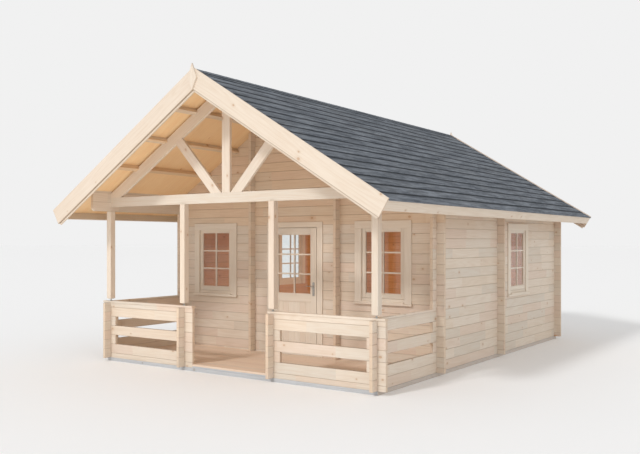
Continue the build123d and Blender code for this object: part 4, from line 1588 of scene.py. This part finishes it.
@dataclass
class Floors:
    """Floor boards that run across, cut round the log ends that come through them."""

    kit: Kit
    board: float = 0.113
    gap: float = 0.0012
    edge: float = 0.002
    clearance: float = 0.0003
    least_strip: float = 0.008

    def build(self) -> None:
        """Lays both floors."""
        rng = np.random.default_rng(37)
        inside = SIZES.side_line - SIZES.half
        edge = (SIZES.porch_line - SIZES.half, SIZES.porch_line + SIZES.half)
        low, high = edge[1], SIZES.front_line - SIZES.half
        clear = (low + SIZES.stub, high - SIZES.front_stub)
        porch = self._rows(low, high, inside, clear)
        porch.append((SIZES.entrance_left, SIZES.entrance_right, *edge))
        low, high = SIZES.front_line + SIZES.half, SIZES.back_line - SIZES.half
        house = self._rows(low, high, inside, (low + SIZES.stub, SIZES.back_line))
        for name, spans in (("porch", porch), ("house", self._round_stiffeners(house, inside))):
            laid = self._boards(np.array(spans), rng)
            made = self.kit.put(laid, f"{name}_boards", "floor_board", "floor_wood")
            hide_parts(f"{name}_floor")

    def _rows(
        self, low: float, high: float, inside: float, clear: Span
    ) -> list[tuple[float, ...]]:
        """Rectangles of boards, split where a column's log end stands in the row.

        Args:
            low: Front of the floor.
            high: Back of the floor.
            inside: Half its width.
            clear: The rows whose middle lies between these two places pass the columns whole.

        Returns:
            Rectangles as (x from, x to, y from, y to).
        """
        count = round((high - low) / self.board)
        pitch = (high - low) / count
        spans: list[tuple[float, ...]] = []
        near, far = SIZES.column_line - self._reach(), SIZES.column_line + self._reach()
        edges = (-inside, -far, -near, near, far, inside)
        for index in range(count):
            front, back = low + index * pitch, low + (index + 1) * pitch
            if clear[0] < (front + back) / 2 < clear[1]:
                spans.append((-inside, inside, front, back))
                continue
            spans += [(left, right, front, back) for left, right in zip(edges[::2], edges[1::2])]
        return spans

    def _reach(self) -> float:
        """Half the width of the cut round a log end."""
        return SIZES.half + self.clearance

    def _round_stiffeners(
        self, spans: list[tuple[float, ...]], inside: float
    ) -> list[tuple[float, ...]]:
        """Shortens the row at the side walls' short logs and fills beside them.

        Args:
            spans: Rectangles as (x from, x to, y from, y to).
            inside: Half the floor's width.

        Returns:
            The new rectangles.
        """
        cut = (SIZES.stiffener_line - self._reach(), SIZES.stiffener_line + self._reach())
        short = inside - SIZES.stub - self.clearance
        found: list[tuple[float, ...]] = []
        for left, right, front, back in spans:
            if back < cut[0] or front > cut[1]:
                found.append((left, right, front, back))
                continue
            found.append((-short, short, front, back))
            for low, high in ((front, min(back, cut[0])), (max(front, cut[1]), back)):
                if high - low > self.least_strip:
                    found += [(-inside, -short, low, high), (short, inside, low, high)]
        return found

    def _boards(self, spans: Array, rng: Rng) -> Surface:
        """Bars over the rectangles, from the underside of the floor to its top.

        Args:
            spans: One row to a board: x from, x to, y from, y to.
            rng: Seeded random numbers.

        Returns:
            The boards as one surface.
        """
        middle = (spans[:, 2] + spans[:, 3]) / 2
        low = np.full(len(spans), SIZES.floor_bottom)
        starts = np.stack([spans[:, 0], middle, low], -1)
        ends = np.stack([spans[:, 1], middle, low], -1)
        width = spans[:, 3] - spans[:, 2] - self.gap
        depth = SIZES.floor_top - SIZES.floor_bottom
        return bars(starts, ends, np.array(UP), width, depth, self.edge, rng)


@dataclass(frozen=True)
class Opening:
    """A glazed opening that faces the front: half its width, its height, its pane and its bars."""

    half: float
    z: Span
    pane: Span
    bead: float
    bar: float = 0.024
    bar_depth: float = 0.012
    rows: int = 3
    edge: float = 0.003

    def glazing_bars(self, rng: Rng) -> list[Surface]:
        """Bars on both faces of the pane, up to its beads.

        One upright bar stands at the middle, and level ones at equal steps of height / rows. Each
        level bar is in two lengths that meet the upright one.

        Args:
            rng: Seeded random numbers.

        Returns:
            The bars in front of the pane and those behind it.
        """
        out, across, up = np.array([0.0, -1.0, 0.0]), np.array([-1.0, 0.0, 0.0]), np.array(UP)
        height = self.z[1] - self.z[0] - 2 * self.bead
        levels = (np.arange(1, self.rows) / self.rows - 0.5) * height
        found: list[Surface] = []
        for y in (self.pane[0], self.pane[1] + self.bar_depth):
            middle = np.array([0.0, y, sum(self.z) / 2])
            starts, ends = [middle - up * height / 2], [middle + up * height / 2]
            for spot in middle + levels[:, None] * up:
                for sign in (-1, 1):
                    starts.append(spot + sign * across * self.bar / 2)
                    ends.append(spot + sign * across * (self.half - self.bead))
            found.append(bars(starts, ends, out, self.bar, self.bar_depth, self.edge, rng))
        return found


def pane_beads(half: float, z: Span, width: float, y: Span) -> list[Board]:
    """Four beads round the inside of an upright rectangle.

    Args:
        half: Half the rectangle's width.
        z: Its height.
        width: Width of a bead.
        y: Reach of the beads from front to back.

    Returns:
        The beads.
    """
    low, high = z
    inner = half - width
    upright = both_sides(Axis.Z, (inner, half), y, z)
    ends = ((low, low + width), (high - width, high))
    return upright + [Board(Axis.X, (-inner, inner), y, span) for span in ends]


@dataclass
class Windows:
    """The four windows: frame, sash, beads, glazing bars, casings, sill and drip board.

    The sizes are measured from the middle of the hole and from the wall's outer face inwards.
    """

    kit: Kit
    opening: Opening = Opening(0.305, (1.120, 2.045), (0.019, 0.025), 0.012)
    half: float = 0.400
    low: float = 0.9925
    high: float = 2.1525
    wall: float = 0.044
    frame_side: float = 0.042
    frame_top: float = 0.050
    frame_foot: float = 0.060
    gap: float = 0.003
    sash_depth: Span = (0.003, 0.0298)
    back_bead: float = 0.0045
    rebate: float = 0.030
    stop: float = 0.009
    casing: float = 0.115
    casing_half: float = 0.480
    casing_top: float = 2.200
    casing_thickness: float = 0.018
    sill_half: float = 0.495
    sill: float = 0.030
    sill_reach: float = 0.040
    drip: float = 0.018
    edge: float = 0.0025
    sash_edge: float = 0.003
    front_places: Span = (-1.6825, 1.6125)
    side_place: float = 1.43

    def build(self) -> None:
        """Builds one window of each place, each with boards of its own."""
        rng = np.random.default_rng(53)
        front, side = SIZES.front_line - SIZES.half, SIZES.side_line + SIZES.half
        places = [(0.0, (x, front, 0.0)) for x in self.front_places]
        places += [(way * math.pi / 2, (way * side, self.side_place, 0.0)) for way in (-1, 1)]
        units = [self._unit(rng).placed(turn, shift) for turn, shift in places]
        joined = units[0].together(*units[1:])
        made = self.kit.put(joined, "window_joinery", "joinery", "joinery_wood")
        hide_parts("windows")
        self.kit.dress("window_glass", "clear_pane", "glass")

    def _unit(self, rng: Rng) -> Surface:
        """One window about the middle of its hole.

        Args:
            rng: Seeded random numbers.

        Returns:
            The window, with its outer face at y = 0.
        """
        fixed = boards(self._frame() + self._casings(), self.edge, rng)
        sash = boards(self._sash(), self.sash_edge, rng)
        return fixed.together(sash, *self.opening.glazing_bars(rng))

    def _frame(self) -> list[Board]:
        """Fixed frame with a stop behind the sash."""
        side, top = self.half - self.frame_side, self.high - self.frame_top
        foot = self.low + self.frame_foot
        deep, back = (0.0, self.wall), (self.rebate, self.wall)
        inner = side - self.stop
        return [
            *both_sides(Axis.Z, (side, self.half), deep, (self.low, self.high)),
            Board(Axis.X, (-side, side), deep, (top, self.high)),
            Board(Axis.X, (-side, side), deep, (self.low, foot)),
            *both_sides(Axis.Z, (inner, side), back, (foot, top)),
            Board(Axis.X, (-inner, inner), back, (top - self.stop, top)),
            Board(Axis.X, (-inner, inner), back, (foot, foot + self.stop)),
        ]

    def _sash(self) -> list[Board]:
        """Sash a small gap off the frame, with beads on both faces of the pane."""
        opening = self.opening
        outer = self.half - self.frame_side - self.gap
        foot, top = self.low + self.frame_foot + self.gap, self.high - self.frame_top - self.gap
        low, high = opening.z
        found = both_sides(Axis.Z, (opening.half, outer), self.sash_depth, (foot, top))
        found += [
            Board(Axis.X, (-opening.half, opening.half), self.sash_depth, span)
            for span in ((high, top), (foot, low))
        ]
        front, back = opening.pane
        for y in ((front - opening.bar_depth, front), (back, back + self.back_bead)):
            found += pane_beads(opening.half, opening.z, opening.bead, y)
        return found

    def _casings(self) -> list[Board]:
        """Casings on both faces of the wall, with the sill and the drip board outside."""
        outer, inner = self.casing_half, self.casing_half - self.casing
        top = self.casing_top - self.casing
        found: list[Board] = []
        for y in ((-self.casing_thickness, 0.0), (self.wall, self.wall + self.casing_thickness)):
            found += both_sides(Axis.Z, (inner, outer), y, (self.low, top))
            found.append(Board(Axis.X, (-outer, outer), y, (top, self.casing_top)))
        reach, sill = (-self.sill_reach, 0.0), (self.low - self.sill, self.low)
        found.append(Board(Axis.X, (-self.sill_half, self.sill_half), reach, sill))
        found.append(Board(Axis.X, (-inner, inner), reach, (self.low, self.low + self.drip)))
        return found


@dataclass
class Doorway:
    """The door's frame with its threshold, stops and casings, in the place of the solid one."""

    kit: Kit
    face: float = -1.723
    wall: float = 0.044
    half: float = 0.480
    clear: float = 0.440
    foot: float = 0.050
    threshold: float = 0.128
    head: float = 2.1125
    top: float = 2.1525
    stop: float = 0.020
    stop_depth: float = 0.017
    casing_half: float = 0.545
    casing_thickness: float = 0.018
    casing_top: float = 2.200
    edge: float = 0.0025

    def build(self) -> None:
        """Builds the frame board by board."""
        rng = np.random.default_rng(67)
        inner = self.face + self.wall
        deep, stop = (self.face, inner), (inner - self.stop_depth, inner)
        narrow = self.clear - self.stop
        items = [
            *both_sides(Axis.Z, (self.clear, self.half), deep, (self.foot, self.top)),
            Board(Axis.X, (-self.clear, self.clear), deep, (self.head, self.top)),
            Board(Axis.X, (-self.clear, self.clear), deep, (self.foot, self.threshold)),
            *both_sides(Axis.Z, (narrow, self.clear), stop, (self.threshold, self.head)),
            Board(Axis.X, (-narrow, narrow), stop, (self.head - self.stop, self.head)),
        ]
        thick, wide = self.casing_thickness, self.casing_half
        for y in ((self.face - thick, self.face), (inner, inner + thick)):
            items += both_sides(Axis.Z, (self.clear, wide), y, (SIZES.floor_top, self.head))
            items.append(Board(Axis.X, (-wide, wide), y, (self.head, self.casing_top)))
        joined = boards(items, self.edge, rng)
        made = self.kit.put(joined, "doorway_joinery", "joinery", "joinery_wood")
        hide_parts("door_frame")


@dataclass
class DoorLeaf:
    """The door: stiles and rails, upright planks below, barred glass above, beads round both."""

    kit: Kit
    opening: Opening = Opening(0.328, (1.060, 2.010), (-1.724, -1.718), 0.014)
    half: float = 0.433
    front: float = -1.741
    back: float = -1.701
    foot: float = 0.135
    top: float = 2.1055
    panel: Span = (0.295, 0.950)
    planks: int = 6
    recess: float = 0.008
    step_in: float = 0.0015
    frame_edge: float = 0.002
    plank_edge: float = 0.004
    bead_edge: float = 0.003

    def build(self) -> None:
        """Builds the leaf board by board."""
        rng = np.random.default_rng(71)
        opening, deep, wide = self.opening, (self.front, self.back), self.opening.half
        low, high = opening.z
        rails = ((self.foot, self.panel[0]), (self.panel[1], low), (high, self.top))
        frame = both_sides(Axis.Z, (wide, self.half), deep, (self.foot, self.top))
        frame += [Board(Axis.X, (-wide, wide), deep, span) for span in rails]
        step = 2 * wide / self.planks
        inner = (self.front + self.recess, self.back - self.recess)
        planks = [
            Board(Axis.Z, (index * step - wide, (index + 1) * step - wide), inner, self.panel)
            for index in range(self.planks)
        ]
        beads: list[Board] = []
        for y in ((self.front + self.step_in, inner[0]), (inner[1], self.back - self.step_in)):
            beads += pane_beads(wide, self.panel, opening.bead, y)
        near, far = opening.pane
        for y in ((near - opening.bar_depth, near), (far, far + opening.bar_depth)):
            beads += pane_beads(wide, opening.z, opening.bead, y)
        sets = opening.glazing_bars(rng)
        leaf = boards(frame, self.frame_edge, rng).together(
            boards(planks, self.plank_edge, rng), boards(beads, self.bead_edge, rng), *sets
        )
        made = self.kit.put(leaf, "leaf_joinery", "joinery", "joinery_wood", "door")
        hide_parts("door_leaf")
        self.kit.dress("door_glass", "clear_pane", "glass")


@dataclass
class Fittings:
    """Lever handle with long plates, and three hinges with turned barrels and screwed flaps."""

    kit: Kit
    front: float = -1.741
    back: float = -1.701
    handle_x: float = 0.3805
    handle_z: float = 1.195
    plate_half: float = 0.019
    plate: Span = (1.044, 1.256)
    plate_thickness: float = 0.006
    neck_length: float = 0.034
    neck_radius: float = 0.009
    lever_length: float = 0.115
    lever_half: float = 0.007
    key_drop: float = 0.085
    hinge_x: float = -0.4365
    hinge_y: float = -1.750
    hinge_heights: tuple[float, ...] = (0.380, 1.12025, 1.8605)
    barrel_radius: float = 0.008
    barrel_height: float = 0.040
    hinge_gap: float = 0.0004
    flap_width: float = 0.040
    flap_thickness: float = 0.0025
    flap_edge: float = 0.0006
    screw_radius: float = 0.0034
    screw_places: tuple[Span, ...] = ((0.020, 0.008), (0.032, 0.020), (0.020, 0.032))
    screw_head: tuple[Span, ...] = ((1.0, 0.0), (0.8, 0.0007), (0.3, 0.0009))
    barrel_cut: float = 0.0012
    plate_edge: float = 0.0018
    neck_foot: tuple[Span, ...] = ((0.0150, 0.0), (0.0150, 0.0020), (0.0135, 0.0034))
    neck_start: float = 0.0052
    neck_waist: Span = (0.92, 0.6)
    neck_sunk: float = 0.004
    rose: tuple[Span, ...] = (
        (0.0115, 0.0), (0.0115, 0.0016), (0.0100, 0.0026), (0.0050, 0.0026), (0.0046, 0.0012)
    )
    lever_height: Span = (0.009, 0.0025)
    lever_ends: tuple[tuple[float, ...], ...] = (
        (0.0, 0.008, 0.03), (0.35, 0.75, 0.95), (0.975, 0.993, 1.0), (0.9, 0.68, 0.3)
    )

    def build(self) -> None:
        """Builds the handle and both halves of the hinges."""
        rng = np.random.default_rng(73)
        outside = self._handle_side(self.front, -1.0, rng)
        handle = outside.together(self._handle_side(self.back, 1.0, rng))
        made = self.kit.put(handle, "lever_handle", "satin_nickel", "handle_metal", "door")
        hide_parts("door_handle")
        for name, body, side, lift in (
            ("frame_hinges", "cabin", -1.0, -self.barrel_height),
            ("leaf_hinges", "door", 1.0, self.hinge_gap),
        ):
            halves = self._hinges(side, lift, rng)
            made = self.kit.put(halves, f"turned_{name}", "plated_steel", "steel", body)
            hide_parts(name)

    def _handle_side(self, face: float, outward: float, rng: Rng) -> Surface:
        """Plate, neck, key rose and lever on one face of the leaf.

        The lever is an oval bar on a straight level line. Its height falls evenly from the neck to
        the tip, and both of its ends are rounded off over a few stations.

        Args:
            face: Place of the leaf's face along Y.
            outward: -1 on the outer face and 1 on the inner one.
            rng: Seeded random numbers.

        Returns:
            The surface.
        """
        middle = (self.handle_x - self.plate_half, self.handle_x + self.plate_half)
        rim = face + outward * self.plate_thickness
        plate = boards([Board(Axis.Z, middle, (face, rim), self.plate)], self.plate_edge, rng)
        axis = (0.0, outward, 0.0)
        reach, radius = self.neck_length - self.plate_thickness, self.neck_radius
        waist = (radius * self.neck_waist[0], reach * self.neck_waist[1])
        top = (radius, reach + self.neck_sunk)
        profile = [*self.neck_foot, (radius, self.neck_start), waist, top]
        spot, key = np.array([self.handle_x, rim, self.handle_z]), np.array([0, 0, self.key_drop])
        neck, rose = turned(profile, spot, axis), turned(self.rose, spot - key, axis)
        start, start_ease, tip, tip_ease = self.lever_ends
        share = np.concatenate([start, np.linspace(0.08, 0.94, 10), tip])
        ease = np.concatenate([start_ease, np.ones(10), tip_ease])
        x = self.handle_x + radius - share * (self.lever_length + radius)
        y = face + outward * (self.neck_length + self.lever_half)
        path = np.stack([x, np.full_like(x, y), np.full_like(x, self.handle_z)], -1)
        high, fall = self.lever_height
        lever = swept(path, self.lever_half * ease, (high - fall * share) * ease)
        return plate.together(neck, rose, lever)

    def _hinges(self, side: float, lift: float, rng: Rng) -> Surface:
        """Barrels, flaps and screw heads of one half of each hinge.

        Args:
            side: -1 for the flap on the frame, 1 for the flap on the leaf.
            lift: Height of the barrel's foot over the middle of the hinge.
            rng: Seeded random numbers.

        Returns:
            The three hinge halves.
        """
        levels = [height + lift for height in self.hinge_heights]
        foot = np.array([[self.hinge_x, self.hinge_y, level] for level in levels])
        radius, cut, top = self.barrel_radius, self.barrel_cut, self.barrel_height
        profile = [(radius - cut, 0.0), (radius, cut), (radius, top - cut), (radius - cut, top)]
        barrels = turned(profile, foot, segments=24)
        x = tuple(sorted((self.hinge_x, self.hinge_x + side * self.flap_width)))
        y = (self.front - self.flap_thickness, self.front)
        flaps = [Board(Axis.Z, x, y, (level, level + top)) for level in levels]
        spots = np.array([
            [self.hinge_x + side * across, y[0], level + rise]
            for level in levels for across, rise in self.screw_places
        ])
        head = [(self.screw_radius * share, height) for share, height in self.screw_head]
        screws = turned(head, spots, (0.0, -1.0, 0.0), 12)
        return barrels.together(boards(flaps, self.flap_edge, rng), screws)


@dataclass
class Footing:
    """The treated base beams and the joists under the floors."""

    kit: Kit

    def dress(self) -> None:
        """Finishes the base timbers."""
        for name in ("base_beams", "floor_joists"):
            self.kit.dress(name, "treated_base", "treated_wood")


@dataclass(frozen=True)
class Sun:
    """A soft sun lamp: its turn in degrees, its light on a square surface, the angle it fills."""

    name: str
    turn: Spot
    strength: float
    spread: float

    def build(self) -> None:
        """Makes the lamp."""
        data = bpy.data.lights.new(self.name, "SUN")
        data.energy = self.strength
        data.angle = math.radians(self.spread)
        lamp = bpy.data.objects.new(self.name, data)
        lamp.rotation_euler = tuple(math.radians(angle) for angle in self.turn)
        bpy.context.scene.collection.objects.link(lamp)


@dataclass(frozen=True)
class Panel:
    """A square soft lamp that no camera or mirror sees.

    The tilt turns it about the cabin's width from facing down, in degrees. Size is the length of
    a side in metres, and power is in watts.
    """

    name: str
    place: Spot
    tilt: float
    size: float
    power: float
    colour: Colour

    def build(self) -> None:
        """Makes the lamp."""
        data = bpy.data.lights.new(self.name, "AREA")
        data.energy, data.size, data.color = self.power, self.size, self.colour
        lamp = bpy.data.objects.new(self.name, data)
        lamp.location = self.place
        lamp.rotation_euler = (math.radians(self.tilt), 0.0, 0.0)
        lamp.visible_camera = lamp.visible_glossy = lamp.visible_transmission = False
        bpy.context.scene.collection.objects.link(lamp)


@dataclass
class Studio:
    """A plain pale floor, soft lamps and the camera at the photograph's viewing angle."""

    spot: Spot = (7.337, -11.56, 1.90)
    turn: float = math.radians(34.84)
    lens: float = 43.48
    lift: float = 0.0219
    sensor: float = 36.0
    sight: float = 1000.0
    ambient: float = 0.72
    mirrored: float = 0.42
    backdrop: float = 0.8795
    ground: float = 0.919
    floor_reach: float = 260.0
    floor_roughness: float = 0.9
    suns: tuple[Sun, ...] = (
        Sun("key_lamp", (52.0, 0.0, -12.0), 1.2, 9.0),
        Sun("fill_lamp", (62.0, 0.0, 70.0), 0.25, 40.0),
    )
    panels: tuple[Panel, ...] = (
        Panel("bounce_lamp", (0.0, -6.9, 0.02), 180.0, 5.0, 85.0, (1.0, 0.87, 0.72)),
        Panel("room_lamp", (0.0, 1.0, 2.6), 0.0, 2.4, 55.0, (1.0, 0.80, 0.60)),
    )

    def build(self) -> None:
        """Makes the floor, the world, the lamps and the camera."""
        self._floor()
        self._world()
        for lamp in (*self.suns, *self.panels):
            lamp.build()
        self._camera()
        bpy.context.scene.view_settings.view_transform = "Standard"

    def _floor(self) -> None:
        """A wide flat floor just under the base beams."""
        ways = ((-1, -1), (1, -1), (1, 1), (-1, 1))
        corners = [(x * self.floor_reach, y * self.floor_reach, 0.0) for x, y in ways]
        mesh = bpy.data.meshes.new("studio_floor")
        mesh.from_pydata(corners, [], [(0, 1, 2, 3)])
        floor = bpy.data.objects.new("studio_floor", mesh)
        bpy.context.scene.collection.objects.link(floor)
        material, graph, shader = new_material("studio_floor")
        grey = (*(self.ground,) * 3, 1.0)
        graph.fill(shader, Base_Color=grey, Roughness=self.floor_roughness)
        mesh.materials.append(material)

    def _world(self) -> None:
        """Even light all round: a pale backdrop to the eye and through glass, darker in mirrors."""
        world = bpy.data.worlds.new("studio_world")
        world.use_nodes = True
        bpy.context.scene.world = world
        graph = Graph(world.node_tree)
        path = graph.node("LightPath").outputs
        seen = graph.maths("MAXIMUM", path["Is Camera Ray"], path["Is Transmission Ray"])
        background = next(n for n in world.node_tree.nodes if n.type == "BACKGROUND")
        levels = (self.ambient, self.mirrored, self.backdrop)
        level, mirror, shown = ((value,) * 3 for value in levels)
        unseen = graph.mix(path["Is Glossy Ray"], level, mirror)
        graph.fill(background, Color=graph.mix(seen, unseen, shown), Strength=1.0)

    def _camera(self) -> None:
        """A level camera off the cabin's front right corner."""
        data = bpy.data.cameras.new("view_camera")
        data.lens = self.lens
        data.sensor_width = self.sensor
        data.shift_y = self.lift
        data.clip_end = self.sight
        camera = bpy.data.objects.new("view_camera", data)
        camera.location = self.spot
        camera.rotation_euler = (math.radians(90), 0.0, self.turn)
        bpy.context.scene.collection.objects.link(camera)
        bpy.context.scene.camera = camera


def main() -> None:
    """Builds the finishes, then each sub-assembly in order, and the studio last."""
    logging.basicConfig(level=logging.INFO, format="%(message)s")
    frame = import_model()
    groups = {"cells": timber_cells(), "figure": timber_figure(), "weather": weather_marks()}
    kit = Kit(frame["nodes"], {name: finish.build(groups) for name, finish in finishes().items()})
    Footing(kit).dress()
    LogWork(kit).dress()
    Frame(kit).dress()
    Posts(kit).build()
    Trim(kit).dress()
    Floors(kit).build()
    RoofDeck(kit).build()
    ShingleRoof(kit).build()
    Windows(kit).build()
    Doorway(kit).build()
    DoorLeaf(kit).build()
    Fittings(kit).build()
    Studio().build()


if __name__ == "__main__":
    main()
